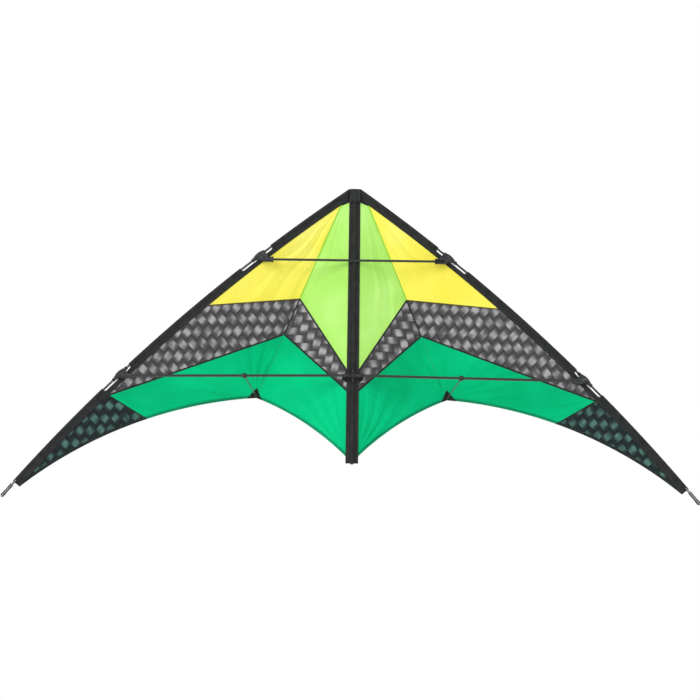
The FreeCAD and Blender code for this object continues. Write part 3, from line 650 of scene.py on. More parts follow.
# %% [markdown]
# ## Seams
# The panels are joined with lap seams, which show as narrow bands where the cloth is double. A
# band is a strip of the same sail surface, a little thicker than the cloth, so it stands proud on
# both faces.

# %% Seam bands
def unit(vectors):
    """Vectors over their lengths."""
    vectors = np.asarray(vectors, float)
    return vectors / np.maximum(np.linalg.norm(vectors, axis=-1, keepdims=True), 1e-9)


def aside(points):
    """Unit vectors across a line of (x, z) points: the way along it, turned by a quarter."""
    way = unit(np.gradient(points, axis=0))
    return np.stack([-way[:, 1], way[:, 0]], -1)


def band(points, width):
    """A strip along a line: point + share * width * aside, share from -1/2 to 1/2."""
    return points[None] + np.linspace(-0.5, 0.5, 5)[:, None, None] * width * aside(points)[None]


BAND_WALL = 0.0010
# finish, slot, the panel the seam goes with, and its lines with their widths
SEAMS = {
    "lime_seam": (LIME_SEAM, "cloth_lime", "lime_panel", [(line(RIDGE_TOP, J1, 130), 0.0032)]),
    "olive_seam": (OLIVE_CLOTH, "cloth_yellow", "yellow_panel", [(line(J1, YELLOW_EDGE, 90), 0.0024)]),
    "arm_seams": (SEAM_CLOTH, "cloth_grey_weave", "weave_inner", [
        (line(LIME_LOW, J1, 80), 0.0036), (line(WEAVE_LOW, J2, 80), 0.0040), (line(J1, J2, 40), 0.0030)]),
    "outer_seams": (SEAM_CLOTH, "cloth_grey_weave", "weave_outer", [
        (line(J2, GREEN_EDGE, 140), 0.0036), (line(TIP_LOW, GREEN_EDGE, 60), 0.0026)]),
    "ridge_seam": (GREEN, "cloth_green", "green_inner", [(line(J2, STANDOFF, 60), 0.0045)]),
}
seams = {}
for name, (finish, slot, _, strips) in SEAMS.items():
    for side, sign in SIDES.items():
        grids = [on_sail(band(points, width), sign) for points, width in strips]
        seam = build(f"{side}_{name}", grids, flipped=sign < 0, wall=BAND_WALL)
        seams[side, name] = dress(seam, finish, slot, f"{side}_wing")
print("seam bands:", len(seams))

# %% [markdown]
# ## Hem
# The trailing edge is folded over and sewn, so it reads as a darker line along the green and a
# black one along the tip. The hem's outer edge is round, because that is what a folded edge is.

# %% Hem along the trailing edge
HEM_WIDTH, HEM_HALF = 0.006, 0.0006
HEM_RIM = np.array([-0.5, -0.3, -0.1, 0.1, 0.3, 0.42, 0.5])


def hem_grid(points, sign):
    """A band whose wall follows the sail: front and back layers at +-half, closed round the outer
    edge."""
    flat = points[None] + HEM_WIDTH * (0.5 - HEM_RIM)[:, None, None] * aside(points)[None]
    layer = HEM_HALF * np.sqrt(np.clip(1 - (np.clip(HEM_RIM, 0, 0.5) / 0.5) ** 6, 0, 1))[:, None]
    depth = sail_depth(flat)
    return np.concatenate([on_sail(flat, sign, layer, depth), on_sail(flat, sign, -layer, depth)[::-1]])


HEMS = {"hem": (HEM, [trail_inner(110), trail_outer(170, 0, TIP_SHARE)]),
        "tip_hem": (SEAM_CLOTH, [trail_outer(110, TIP_SHARE, TIP_STOP)])}
hems = {}
for name, (finish, lines) in HEMS.items():
    for side, sign in SIDES.items():
        hem = build(f"{side}_{name}_fold", [hem_grid(points, sign) for points in lines], closed=True)
        nodes = [f"{side}_hem"] if name == "hem" else []
        hems[side, name] = dress(hem, finish, "cloth_hem", f"{side}_wing", *nodes)
print("hems:", len(hems))

# %% [markdown]
# ## Leading-edge sleeves
# A strip of heavy polyester is folded round the rod and sewn to the sail. It is cut away at the
# two fittings, and there only its sewn flap goes on, with rounded corners. Its section is a curve
# carried along the edge's arc, and the ends of the three tubes follow the cut-outs.

# %% Sleeve section and cut-outs
FLAP, FLAP_HALF = 0.0058, 0.0009
ROD_CLEAR = 0.0037
CORNER = 0.0052
NOTCHES = [(0.216, 0.301), (0.626, 0.706)]
SLEEVE_WALL = 0.00045


def half_depth(out):
    """Half the sleeve's thickness, `out` metres outside the rod's line: flat, swelling to the rod,
    then round."""
    swell = FLAP_HALF + (ROD_CLEAR - FLAP_HALF) * smooth(-0.0088, -0.0008, out)
    return np.where(out < 0, swell, np.sqrt(np.clip(ROD_CLEAR**2 - out**2, 0, None)))


def nose_cut(out):
    """The distance along the edge where the sleeve meets the nose webbing's side, x =
    NOSE_HALF."""
    x = NOSE_HALF + 0.0005 - ARC_X
    return EDGE_RADIUS * (np.arcsin(x / (EDGE_RADIUS + out)) - NOSE_TILT)


def rounded(out):
    """How far the cloth reaches into a cut-out: corner - sqrt(corner^2 - (corner - height)^2)."""
    height = np.clip(out + FLAP, 0, CORNER)
    return CORNER - np.sqrt(np.clip(CORNER**2 - (CORNER - height) ** 2, 0, None))


def sleeve_point(along, out, depth, sign):
    """The edge point `out` metres outside the rod, at a depth."""
    flat = edge(along, -out)
    return np.stack([sign * flat[..., 0], np.broadcast_to(depth, flat.shape[:-1]), flat[..., 1]], -1)


round_rod = ROD_CLEAR * np.sin(np.linspace(0, math.pi / 2, 12))
OUT_FRONT = np.concatenate([np.linspace(-FLAP, 0, 16)[:-1], round_rod])
OUT_ROUND = np.concatenate([OUT_FRONT, OUT_FRONT[-2::-1]])
DEPTH_ROUND = half_depth(OUT_ROUND) * np.where(np.arange(len(OUT_ROUND)) < len(OUT_FRONT), -1, 1)
print("points round the sleeve:", len(OUT_ROUND))

# %% Build the sleeves
def sleeve_grids(sign):
    """Three tubes between the cut-outs, and the flap's two layers along the whole edge."""
    reach = rounded(OUT_ROUND)
    begins = [nose_cut(OUT_ROUND)] + [stop - reach for _, stop in NOTCHES]
    ends = [start + reach for start, _ in NOTCHES] + [np.full(len(OUT_ROUND), SLEEVE_END)]
    grids = []
    for begin, end in zip(begins, ends):
        share = np.linspace(0, 1, int((end - begin).max() / 0.006) + 2)[:, None]
        grids.append(sleeve_point(begin + share * (end - begin), OUT_ROUND[None], DEPTH_ROUND[None], sign))
    out = np.linspace(-SLEEVE_DEEP, -FLAP, 6)
    along = nose_cut(out) + np.linspace(0, 1, 200)[:, None] * (SLEEVE_END - nose_cut(out))
    front, behind = (sleeve_point(along, out[None], face * half_depth(out)[None], sign) for face in (-1, 1))
    return grids + [front, behind[:, ::-1]]


for side, sign in SIDES.items():
    grids = sleeve_grids(sign)
    sleeve = build(f"{side}_edge_sleeve", grids, flipped=sign > 0, wall=SLEEVE_WALL)
    dress(sleeve, SLEEVE_CLOTH, "tape_black", f"{side}_wing", f"{side}_leading_sleeve")
    sleeve_area = sum(area_of(grid) for grid in grids)
print(f"sleeve cloth: {sleeve_area * 1e4:.0f} cm2")

# %% [markdown]
# ## Spine tape and pocket
# A wide tape joins the two halves of the sail down the middle, and a pocket sewn on its front
# holds the spine rod. The tape is what the wings fold about. The pocket is open round the centre
# tee.

# %% Tape halves
TAPE_LOW, TAPE_HALF, TAPE_OVER = -0.195, 0.0136, 0.003
TAPE_WALL, TAPE_BENT = 0.0009, (0.0015, 0.0115)


def tape_half(z):
    """Half the tape's width: 12.4 mm at the top, 14.2 mm at the foot, linear between."""
    return 0.0124 + 0.0018 * (SPINE_TOP - z) / (SPINE_TOP - TAPE_LOW)


def tape_grid(sign):
    """A strip from the middle out: depth = -0.55 mm, with a slow ripple of 0.15 mm along the loose
    edge."""
    z = np.linspace(TAPE_LOW, SPINE_TOP + TAPE_OVER, 220)[:, None]
    across = np.linspace(0, 1, 16)[None] * tape_half(z)
    ripple = 0.00015 * np.sin(z / 0.011 + sign) * smooth(0.006, TAPE_HALF, across)
    return np.stack(np.broadcast_arrays(sign * across, -0.00055 + ripple, z), -1)


for side, sign in SIDES.items():
    tape = build(f"{side}_spine_tape_half", [tape_grid(sign)], flipped=sign < 0, wall=TAPE_WALL)
    dress(tape, TAPE_CLOTH, "tape_black")
    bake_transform(tape)
    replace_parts(tape, f"{side}_spine_tape")

# %% Rod pocket
TEE_GAP, POCKET_HALF, POCKET_WALL = 0.0142, 0.0072, 0.0006


def pocket_grid(low, high):
    """An arch over the rod: front = base + height * (1 - smoothstep of |x|), with 0.2 mm of slack
    along z."""
    x = np.linspace(-POCKET_HALF, POCKET_HALF, 33)[None]
    z = np.linspace(low, high, int((high - low) / 0.003) + 2)[:, None]
    arch = 0.0061 * (1 - smooth(0.0012, 0.0056, np.abs(x)))
    slack = 0.0002 * np.sin(z / 0.013 + 3 * x / POCKET_HALF) * smooth(0, 0.003, arch)
    return np.stack(np.broadcast_arrays(x, -0.0014 - arch - slack, z), -1)


pocket_grids = [pocket_grid(TAPE_LOW + 0.006, -TEE_GAP), pocket_grid(TEE_GAP, SPINE_TOP + 0.004)]
pocket = build("spine_rod_pocket", pocket_grids, wall=POCKET_WALL)
dress(pocket, TAPE_CLOTH, "tape_black", "spine", "spine_pocket")
print("pocket lengths:", [round(run_of(grid[:, 0]), 3) for grid in pocket_grids])

# %% [markdown]
# ## Webbing, patches
# The nose takes the hardest knocks, so a short length of webbing is folded over it. Small patches
# spread the load where the standoff, the tee and the nose pull on the sail.

# %% Nose webbing
NOSE_LEVEL, NOSE_WALL = 0.42, 0.0012
NOSE_FRONT, NOSE_BACK = -0.0080, 0.0010


def nose_grid():
    """A U in the y-z plane carried along x: a front leg, a half circle over the top, and a back
    leg. The front leg stands out over the rod and lies low beside it, by a smoothstep of |x|."""
    low = SPINE_TOP + 0.0012
    middle, rad = (NOSE_FRONT + NOSE_BACK) / 2, (NOSE_BACK - NOSE_FRONT) / 2
    turn = np.linspace(math.pi, 0, 15)
    top = NOSE_TOP - rad - 0.0007
    y = np.concatenate([np.full(8, NOSE_FRONT), middle + rad * np.cos(turn), np.full(8, NOSE_BACK)])
    leg = np.linspace(low, top, 9)
    z = np.concatenate([leg[:-1], top + rad * np.sin(turn), np.linspace(top, low, 9)[1:]])
    x = np.linspace(-1, 1, 25) * (NOSE_HALF + 0.0003)
    side = np.abs(x) / NOSE_HALF
    over_rod = 1 - smooth(0.0016, 0.0072, np.abs(x))
    level = np.where(y[:, None] < middle, NOSE_LEVEL + (1 - NOSE_LEVEL) * over_rod, 1)
    drawn = middle + (y[:, None] - middle) * level * (1 - 0.35 * side**5)
    return np.stack(np.broadcast_arrays(x[None], drawn, z[:, None] - 0.0006 * side**3), -1)


nose = build("nose_webbing_fold", [nose_grid()], wall=NOSE_WALL)
dress(nose, WEBBING, "webbing_black", "spine", "nose_webbing")
print("webbing:", nose.name)

# %% Patches
PATCH_WALL = 0.0017
PATCH_X = (0.2020, 0.2360)


def between(low, high, rows):
    """A Coons patch with straight sides."""
    return coons(low, high, line(low[0], high[0], rows), line(low[-1], high[-1], rows))


def patch_outlines():
    """Each patch as a flat grid on the sail."""
    inner, outer = (float(np.interp(x, trail(501)[:, 0], SHARES))
                    for x, trail in zip(PATCH_X, (trail_inner, trail_outer)))
    low = np.concatenate([trail_inner(9, inner, 1), trail_outer(10, 0, outer)[1:]])
    high = line((0.2130, -0.0290), (0.2152, -0.0290), 18)
    tee = [(TAPE_HALF - 0.001, -0.0165), (0.0232, -0.0092), (0.0232, -0.0028), (TAPE_HALF - 0.001, 0.0085)]
    corner = TOP + (0.0003, 0.0004)
    top = np.array([corner[0], edge(nose_cut(-SLEEVE_DEEP), SLEEVE_DEEP)[1] + 0.0020])
    return {
        "standoff_patch": between(low, high, 12),
        "tee_patch": between(line(tee[0], tee[1], 8), line(tee[3], tee[2], 8), 8),
        "nose_patch": between(line(corner, RIDGE_TOP - (0.0012, 0.0008), 12),
                              line(top, RIDGE_TOP + (0.0010, 0.0008), 12), 10),
    }


patches = []
for name, flat in patch_outlines().items():
    for side, sign in SIDES.items():
        grid = on_sail(flat, sign)
        patch = build(f"{side}_{name}_cloth", [grid], flipped=sign < 0, wall=PATCH_WALL)
        patches.append((dress(patch, PATCH_CLOTH, "webbing_black", f"{side}_wing", f"{side}_{name}"), grid))
print("patches:", len(patches))

# %% [markdown]
# ## Moulded fittings
# The fittings are nylon and rubber mouldings: an eye round one rod and a socket for another, run
# together with soft corners. Each is built from turned shapes that overlap, melted into one skin
# by a voxel remesh and smoothed, which gives the rounded meeting lines of a moulding. Openings are
# cut afterwards, so they stay sharp.

# %% Turned shapes
def middle_of(node):
    """The middle of a CAD node's box."""
    low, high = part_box(node)
    return np.array([(low[k] + high[k]) / 2 for k in range(3)])


_, FRAME_Y, UPPER_Z = middle_of("upper_spreader_rod")
SPINE_Y = middle_of("spine_rod")[1]
LOWER_END = 0.487
LOWER_DROP = 6.6 / 487


def along_edge(distance, sign):
    """The point on the edge rod, and the way along it."""
    angle = NOSE_TILT + distance / EDGE_RADIUS
    x, z = edge(distance)
    return np.array([sign * x, 0, z]), np.array([sign * math.cos(angle), 0, -math.sin(angle)])


def lower_rod(x, sign):
    """The point on the lower spreader's line at |x|."""
    return np.array([sign * x, FRAME_Y, -LOWER_DROP * x])


def around(count):
    """Angles of a whole turn."""
    return np.linspace(0, 2 * math.pi, count, endpoint=False)


def turned(start, way, profile, count=36):
    """Surface of revolution: start + s * way + r * (cos a * side + sin a * up), for each (s, r) in
    millimetres."""
    way = unit(way)
    side = unit(np.cross(way, (0, 1, 0) if abs(way[1]) < 0.9 else (1, 0, 0)))
    s, r = np.array(profile, float).T * 0.001
    a = around(count)[None, :, None]
    ring = np.cos(a) * side + np.sin(a) * np.cross(side, way)
    return np.asarray(start) + s[:, None, None] * way + r[:, None, None] * ring


def capped(length, radius, ends=0.8, belly=0.0):
    """A rod's profile in millimetres: quarter-round ends, and a bulge of belly * sin(pi * share)
    between."""
    turn = np.linspace(0, math.pi / 2, 5)
    share = np.linspace(0, 1, 9)
    middle = np.stack([ends + share * (length - 2 * ends), radius + belly * np.sin(math.pi * share)], -1)
    first = np.stack([ends * (1 - np.cos(turn)), radius - ends + ends * np.sin(turn)], -1)
    last = np.stack([length - first[::-1, 0], first[::-1, 1]], -1)
    return np.concatenate([[(0, 0)], first[:-1], middle, last[1:], [(length, 0)]])


def prism(centre, ring, way, first, last):
    """A closed bar with a flat ring for its section: centre + size * ring + s * way, with size 0
    at both ends."""
    size, s = np.array([(0, first), (1, first), (1, last), (0, last)]).T[:, :, None, None]
    return centre + size * ring + s * np.asarray(way, float)


print("lower spreaders drop", round(1000 * LOWER_DROP * LOWER_END, 1), "mm to the wings")

# %% Melting shapes together
MOULD_SHARP, NOCK_SHARP = math.radians(38), math.radians(32)


def settle(piece):
    """The mesh with its modifiers done."""
    graph = bpy.context.evaluated_depsgraph_get()
    done = bpy.data.meshes.new_from_object(piece.evaluated_get(graph))
    piece.modifiers.clear()
    piece.data = done
    return piece


def cut_out(piece, hole):
    """The piece less a closed grid."""
    tool = build("hole", [hole], wraps=True, closed=True)
    cut = piece.modifiers.new("cut", "BOOLEAN")
    cut.operation, cut.object = "DIFFERENCE", tool
    settle(piece)
    bpy.data.objects.remove(tool)


def moulded(name, shapes, holes=(), voxel=0.00045):
    """Shapes melted into one skin, less the holes."""
    piece = build(name, shapes, wraps=True, closed=True)
    melt = piece.modifiers.new("melt", "REMESH")
    melt.mode, melt.voxel_size = "VOXEL", voxel
    soften = piece.modifiers.new("soften", "SMOOTH")
    soften.factor, soften.iterations = 0.5, 5
    settle(piece)
    for hole in holes:
        cut_out(piece, hole)
    piece.data.polygons.foreach_set("use_smooth", np.ones(len(piece.data.polygons), bool))
    piece.data.set_sharp_from_angle(angle=MOULD_SHARP)
    return piece


def turnery(name, shapes):
    """Turned shapes left as they are, in one piece."""
    return build(name, shapes, wraps=True, closed=True)


print("modifiers that melt: remesh, smooth, boolean")

# %% [markdown]
# ## Connectors on the leading edges
# Each connector has a barrel-shaped eye on the edge rod and a socket in front of the sail for a
# spreader. The upper right one is an open cradle, so that the upper spreader can be lifted out to
# the front.

# %% Connectors
UPPER_AT, LOWER_AT = 0.249, 0.655
EYE_HALF, UPPER_END = 0.015, 0.179
EYE_PROFILE = [(0, 0), (0, 4.1), (0.9, 4.9), (2.6, 5.2), (3.8, 4.9), (6.5, 6.0), (10.5, 6.9),
               (15, 7.1), (19.5, 6.9), (23.5, 6.0), (26.2, 4.9), (27.4, 5.2), (29.1, 4.9),
               (30, 4.1), (30, 0)]
SOCKET_PROFILE = [(0, 0), (0, 5.9), (0.6, 6.6), (1.8, 6.8), (3.0, 6.5), (4.2, 5.9), (8, 5.7),
                  (16, 5.9), (23, 6.0), (25.5, 5.0), (26.5, 3.4), (27, 0)]
WEBS = [(0.010, -0.0085), (0.015, -0.0035), (0.019, 0.0015), (0.022, 0.0065)]
BED = 0.00295


def connector_shapes(distance, mouth, way, sign):
    """Eye, socket, and webs from along the socket to along the eye, which fill the corner between
    them."""
    centre, tangent = along_edge(distance, sign)
    shapes = [turned(centre - tangent * EYE_HALF, tangent, EYE_PROFILE), turned(mouth, way, SOCKET_PROFILE)]
    for start, share in WEBS:
        root = mouth + start * unit(way)
        reach = centre + share * tangent + np.array([0, -0.0018, 0]) - root
        shapes.append(turned(root, reach, capped(1000 * np.linalg.norm(reach), 5.6, 1.5, 0.5)))
    return shapes


def cradle_slot(mouth, sign):
    """The space of the lifted rod: its round bed, drawn out 10 mm to the front as a flat-sided
    slot."""
    a = around(40)
    y = BED * np.sin(a) - np.where(np.sin(a) < 0, 0.010, 0)
    return prism(mouth, np.stack([0 * a, y, BED * np.cos(a)], -1), (sign, 0, 0), -0.002, 0.0205)


for side, sign in SIDES.items():
    shapes = connector_shapes(LOWER_AT, lower_rod(LOWER_END, sign), (sign, 0, -LOWER_DROP), sign)
    lower = dress(moulded(f"{side}_lower_fitting", shapes), NYLON, "plastic_black", f"{side}_wing",
                  f"{side}_lower_connector")
    mouth = np.array([sign * UPPER_END, FRAME_Y, UPPER_Z])
    shapes = connector_shapes(UPPER_AT, mouth, (sign, 0, 0), sign)
    holes, body = ([cradle_slot(mouth, sign)], "right_wing") if sign > 0 else ([], "upper_spreader")
    dress(moulded(f"{side}_upper_fitting", shapes, holes), NYLON, "plastic_black", body,
          f"{side}_upper_connector")
print("lower connector faces:", len(lower.data.polygons))

# %% Stopper rings
STOP = 0.006
STOP_FROM = EYE_HALF + 0.0004
for side, sign in SIDES.items():
    rings = [turned(*along_edge(start, sign), capped(1000 * STOP, 3.9, 1.2, 0.3), 32)
             for start in (UPPER_AT + STOP_FROM, LOWER_AT - STOP_FROM - STOP, LOWER_AT + STOP_FROM)]
    dress(turnery(f"{side}_stopper_rings", rings), RUBBER, "rubber_black", f"{side}_wing",
          f"{side}_edge_stops")
print("stopper rings:", 2 * len(rings))

# %% [markdown]
# ## Centre tee
# The tee is rubber. Its core grips the spine rod, and its two arms take the ends of the lower
# spreaders. When the wings fold the arms bend.

# %% Tee
TUBE_Y = SPINE_Y - 0.00165
ARM_FROM, ARM_BENT = 0.0045, 0.0225
TUBE_PROFILE = [(0, 0), (0, 3.9), (0.7, 4.5), (2.2, 4.5), (3.0, 4.1), (6, 4.2), (10, 4.4),
                (14, 4.2), (17, 4.1), (17.8, 4.5), (19.3, 4.5), (20, 3.9), (20, 0)]
ARM_PROFILE = [(0, 0), (0, 4.0), (0.5, 4.4), (2.4, 4.4), (3.0, 4.0), (5.0, 3.9), (5.5, 4.2),
               (6.6, 4.2), (7.2, 3.8), (12, 3.6), (16.4, 3.5), (16.9, 3.9), (18.4, 4.0), (19, 3.6),
               (19, 0)]
core = [turned((0, TUBE_Y, -0.010), (0, 0, 1), TUBE_PROFILE),
        turned((-0.0042, FRAME_Y, 0), (1, 0, 0), capped(8.4, 5.2, 1.6, 0.4)),
        turned((0, FRAME_Y, 0), (0, TUBE_Y - FRAME_Y, 0), capped(6.5, 4.6, 1.0))]
tee = dress(moulded("tee_core_moulding", core), RUBBER, "rubber_black", "spine", "tee_core")
for side, sign in SIDES.items():
    arm = turnery(f"{side}_tee_arm_moulding",
                  [turned(lower_rod(ARM_FROM, sign), (sign, 0, -LOWER_DROP), ARM_PROFILE, 40)])
    rounding = arm.modifiers.new("rounding", "SUBSURF")
    rounding.levels = rounding.render_levels = 1
    dress(settle(arm), RUBBER, "rubber_black")
    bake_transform(arm)
    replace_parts(arm, f"{side}_tee_arm")
print("tee core faces:", len(tee.data.polygons))

# %% [markdown]
# ## Standoffs
# A thin rod holds the trailing edge back from the spreader. Its clip turns on the spreader, so the
# clip, the rod and the foot ride on a body of their own.

# %% Clips and feet
CLIP_X = 0.240
FOOT_AT = np.array([STANDOFF[0], DEPTH - 0.0055, STANDOFF[1] + 0.004])
CLIP_PROFILE = [(0, 0), (0, 3.9), (0.6, 4.6), (2.2, 5.5), (5, 6.0), (7.8, 5.5), (9.4, 4.6),
                (10, 3.9), (10, 0)]
NECK_PROFILE = [(0, 0), (0, 3.0), (5, 3.0), (9, 2.6), (12.4, 2.5), (13.2, 2.1), (13.5, 0)]
FOOT_PROFILE = [(0, 0), (0, 1.9), (0.6, 2.5), (2.0, 2.7), (2.6, 2.3), (3.6, 2.3), (4.2, 2.7),
                (9.8, 2.8), (11.2, 2.3), (12.0, 1.2), (12.2, 0)]
for side, sign in SIDES.items():
    foot_at, clip_at = FOOT_AT * (sign, 1, 1), lower_rod(CLIP_X, sign)
    out, way = unit(foot_at - clip_at), unit([sign, 0, -LOWER_DROP])
    shapes = [turned(clip_at - 0.005 * way, way, CLIP_PROFILE), turned(clip_at, out, NECK_PROFILE)]
    clip = moulded(f"{side}_clip_moulding", shapes, voxel=0.0004)
    dress(clip, NYLON, "plastic_black", f"{side}_standoff", f"{side}_standoff_clip")
    foot = turnery(f"{side}_foot_cap", [turned(foot_at - 0.012 * out, out, FOOT_PROFILE)])
    dress(foot, RUBBER, "rubber_black", f"{side}_standoff", f"{side}_standoff_foot")
print("feet at", FOOT_AT.round(3))

# %% Wing-tip nocks
NOCK_PROFILE = [(0, 0), (0, 3.9), (0.5, 4.2), (2.2, 4.2), (2.8, 3.7), (6, 3.7), (6.6, 4.2),
                (8, 4.2), (8.6, 3.7), (22, 3.7), (24, 4.2), (32.5, 4.2), (34.4, 3.2), (35, 0)]
NOCK_FROM, NOCK_LONG = 0.996, 0.035
SLOT_LONG, SLOT_TALL = 0.0065, 0.0011


def nock_slot(sign):
    """A flat-sided slot across the end of the nock, along y, for the cord."""
    end, way = along_edge(NOCK_FROM + NOCK_LONG, sign)
    a = around(24)
    long = np.clip(1.5 * np.cos(a), -1, 1)[:, None] * SLOT_LONG * way
    tall = np.clip(1.5 * np.sin(a), -1, 1)[:, None] * SLOT_TALL * np.cross(way, (0, 1, 0))
    return prism(end, long + tall, (0, 1, 0), -0.010, 0.010)


for side, sign in SIDES.items():
    nock = turnery(f"{side}_nock_moulding", [turned(*along_edge(NOCK_FROM, sign), NOCK_PROFILE, 40)])
    cut_out(nock, nock_slot(sign))
    nock.data.set_sharp_from_angle(angle=NOCK_SHARP)
    dress(nock, RUBBER, "plastic_black", f"{side}_wing", f"{side}_tip_nock")
print("nock faces:", len(nock.data.polygons))

# %% [markdown]
# ## Rods, caps and cords that keep their CAD shape
# A rod is a plain cylinder, so its CAD mesh is right as it is and only needs its finish.

# %% Finishes for the CAD pieces
KEPT = {"spine_rod": ROD, "upper_spreader_rod": ROD, "tail_cap": RUBBER}
for side in SIDES:
    KEPT[f"{side}_tip_cord"] = CORD
    for part in ("edge_rod_upper", "edge_rod_lower", "edge_ferrule", "lower_spreader", "standoff_rod"):
        KEPT[f"{side}_{part}"] = ROD
for name, finish in KEPT.items():
    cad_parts[name].data.materials.clear()
    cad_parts[name].data.materials.append(finish)
print("CAD pieces kept:", len(KEPT))

# %% [markdown]
# ## Stitches
# Lap seams are sewn with a zigzag and the rest with a straight lockstitch. Each row is one thin
# tube that dives into the cloth at every stitch, so it shows as separate stitches on the surface.

# %% Thread along a line
THREAD, THREAD_SIDES = 0.00024, 5
ZIGZAG_PITCH, ZIGZAG_STEPS = 0.0050, 8
LOCK_PITCH, LOCK_STEPS = 0.0036, 6
STITCHED = 0.62


def tube(path):
    """Rings round a path, square to its tangent, that close to a point at both ends."""
    way = unit(np.gradient(path, axis=0))
    side = unit(np.cross(way, (0, 1, 0)))
    a = around(THREAD_SIDES)[None, :, None]
    size = np.full(len(path), THREAD)
    size[[0, -1]] = 0
    ring = np.cos(a) * side[:, None] + np.sin(a) * np.cross(side, way)[:, None]
    return path[:, None] + size[:, None, None] * ring


def spaced(points, pitch, per_stitch):
    """A line sampled again at even steps, per_stitch to each stitch."""
    run = np.concatenate([[0], np.cumsum(np.linalg.norm(np.diff(points, axis=0), axis=1))])
    count = max(int(run[-1] / pitch), 1) * per_stitch + 1
    at = np.linspace(0, run[-1], count)
    return np.stack([np.interp(at, run, points[:, k]) for k in range(points.shape[1])], -1)


def zigzag(points, width, sign, face):
    """Offset = half width * triangle wave; height = wall + 0.15 mm * |sin|, so it dives in at each
    turn."""
    flat = spaced(points, ZIGZAG_PITCH, ZIGZAG_STEPS)
    phase = np.arange(len(flat)) / ZIGZAG_STEPS
    offset = width / 2 * (2 * np.abs(2 * np.mod(phase, 1) - 1) - 1)
    lift = BAND_WALL / 2 - 0.00012 + 0.0003 * np.abs(np.sin(2 * math.pi * phase))
    return tube(on_sail(flat + offset[:, None] * aside(flat), sign, face * lift))


def lockstitch(points, y_of, sign, face):
    """A straight row at the depth y_of(points), on one face. It rises and dives by 0.3 mm * sin(2
    pi * stitches)."""
    flat = spaced(points, LOCK_PITCH, LOCK_STEPS)
    dive = 0.0003 * np.sin(2 * math.pi * np.arange(len(flat)) / LOCK_STEPS)
    return tube(np.stack([sign * flat[:, 0], y_of(flat) - face * (0.00005 + dive), flat[:, 1]], -1))


def sew(name, rows, finish, slot, body):
    """One piece of all the rows of a thread."""
    return dress(turnery(name, rows), finish, slot, body)


print("thread is", round(2000 * THREAD, 2), "mm thick")

# %% Sew the seams
FACES = (1, -1)
SEAM_THREAD = {"lime_seam": LIME_THREAD, "ridge_seam": GREEN_THREAD}
for name, (_, slot, _, strips) in SEAMS.items():
    for side, sign in SIDES.items():
        rows = [zigzag(points, STITCHED * width, sign, face) for points, width in strips for face in FACES]
        seams[side, name + "_stitches"] = sew(f"{side}_{name}_stitches", rows,
                                              SEAM_THREAD.get(name, BLACK_THREAD), slot, f"{side}_wing")
print("stitched seams:", 2 * len(SEAMS))

# %% Sew the hem and the trim
HEM_INSET = 0.0046
HEM_THREAD = {"hem": (GREEN_THREAD, [trail_inner(200), trail_outer(200, 0, TIP_SHARE)]),
              "tip_hem": (BLACK_THREAD, [trail_outer(160, TIP_SHARE, 0.99)])}
SLEEVE_ROWS, TAPE_ROWS = (0.0146, 0.0104), (0.0013, 0.0039)
TAPE_FACE = -0.0010


def hem_face(sign, face):
    """The depth of the hem's face: the sail, half a hem wall out."""
    return lambda flat: sail_depth(flat) + folds(flat, sign) - face * HEM_HALF


def trim_rows(sign):
    """Two rows along the sleeve, on both faces, and two along the tape."""
    rows = []
    for inset in SLEEVE_ROWS:
        sewn = edge(np.linspace(0.018, SLEEVE_END - 0.002, 400), inset)
        level = float(half_depth(np.array(-inset))) + SLEEVE_WALL / 2
        rows += [lockstitch(sewn, lambda flat, face=face: -face * level, sign, face) for face in FACES]
    low, high = TAPE_LOW + 0.002, SPINE_TOP - 0.001
    for inset in TAPE_ROWS:
        sewn = line((tape_half(low) - inset, low), (tape_half(high) - inset, high), 50)
        rows.append(lockstitch(sewn, lambda flat: TAPE_FACE, sign, 1))
    return rows


for side, sign in SIDES.items():
    for name, (finish, lines) in HEM_THREAD.items():
        rows = [lockstitch(points + HEM_INSET * aside(points), hem_face(sign, face), sign, face)
                for points in lines for face in FACES]
        hems[side, name + "_stitches"] = sew(f"{side}_{name}_stitches", rows, finish, "cloth_hem",
                                             f"{side}_wing")
    hems[side, "trim_stitches"] = sew(f"{side}_trim_stitches", trim_rows(sign), BLACK_THREAD,
                                      "tape_black", f"{side}_wing")
print("hem and trim threads:", len(hems) - 2 * len(HEMS))

# %% Sew the spine
POCKET_ROWS, NOSE_ROWS = (-0.0066, 0.0066), (-0.0094, 0.0094)
POCKET_FACE = -0.0017


def nose_front(flat):
    """Depth of the nose webbing's front face at a line of (x, z), from the grid's first row."""
    first = nose_grid()[0]
    return np.interp(flat[:, 0], first[:, 0], first[:, 1]) - NOSE_WALL / 2


rows = [lockstitch(line((x, low), (x, high), 40), lambda flat: POCKET_FACE, 1, 1) for x in POCKET_ROWS
        for low, high in ((TAPE_LOW + 0.008, -TEE_GAP - 0.001), (TEE_GAP + 0.001, SPINE_TOP + 0.002))]
rows += [lockstitch(line((x, SPINE_TOP + 0.003), (x, NOSE_TOP - 0.006), 20), nose_front, 1, 1)
         for x in NOSE_ROWS]
pocket_thread = sew("spine_stitches", rows, BLACK_THREAD, "tape_black", "spine")
print("rows on the spine:", len(rows))
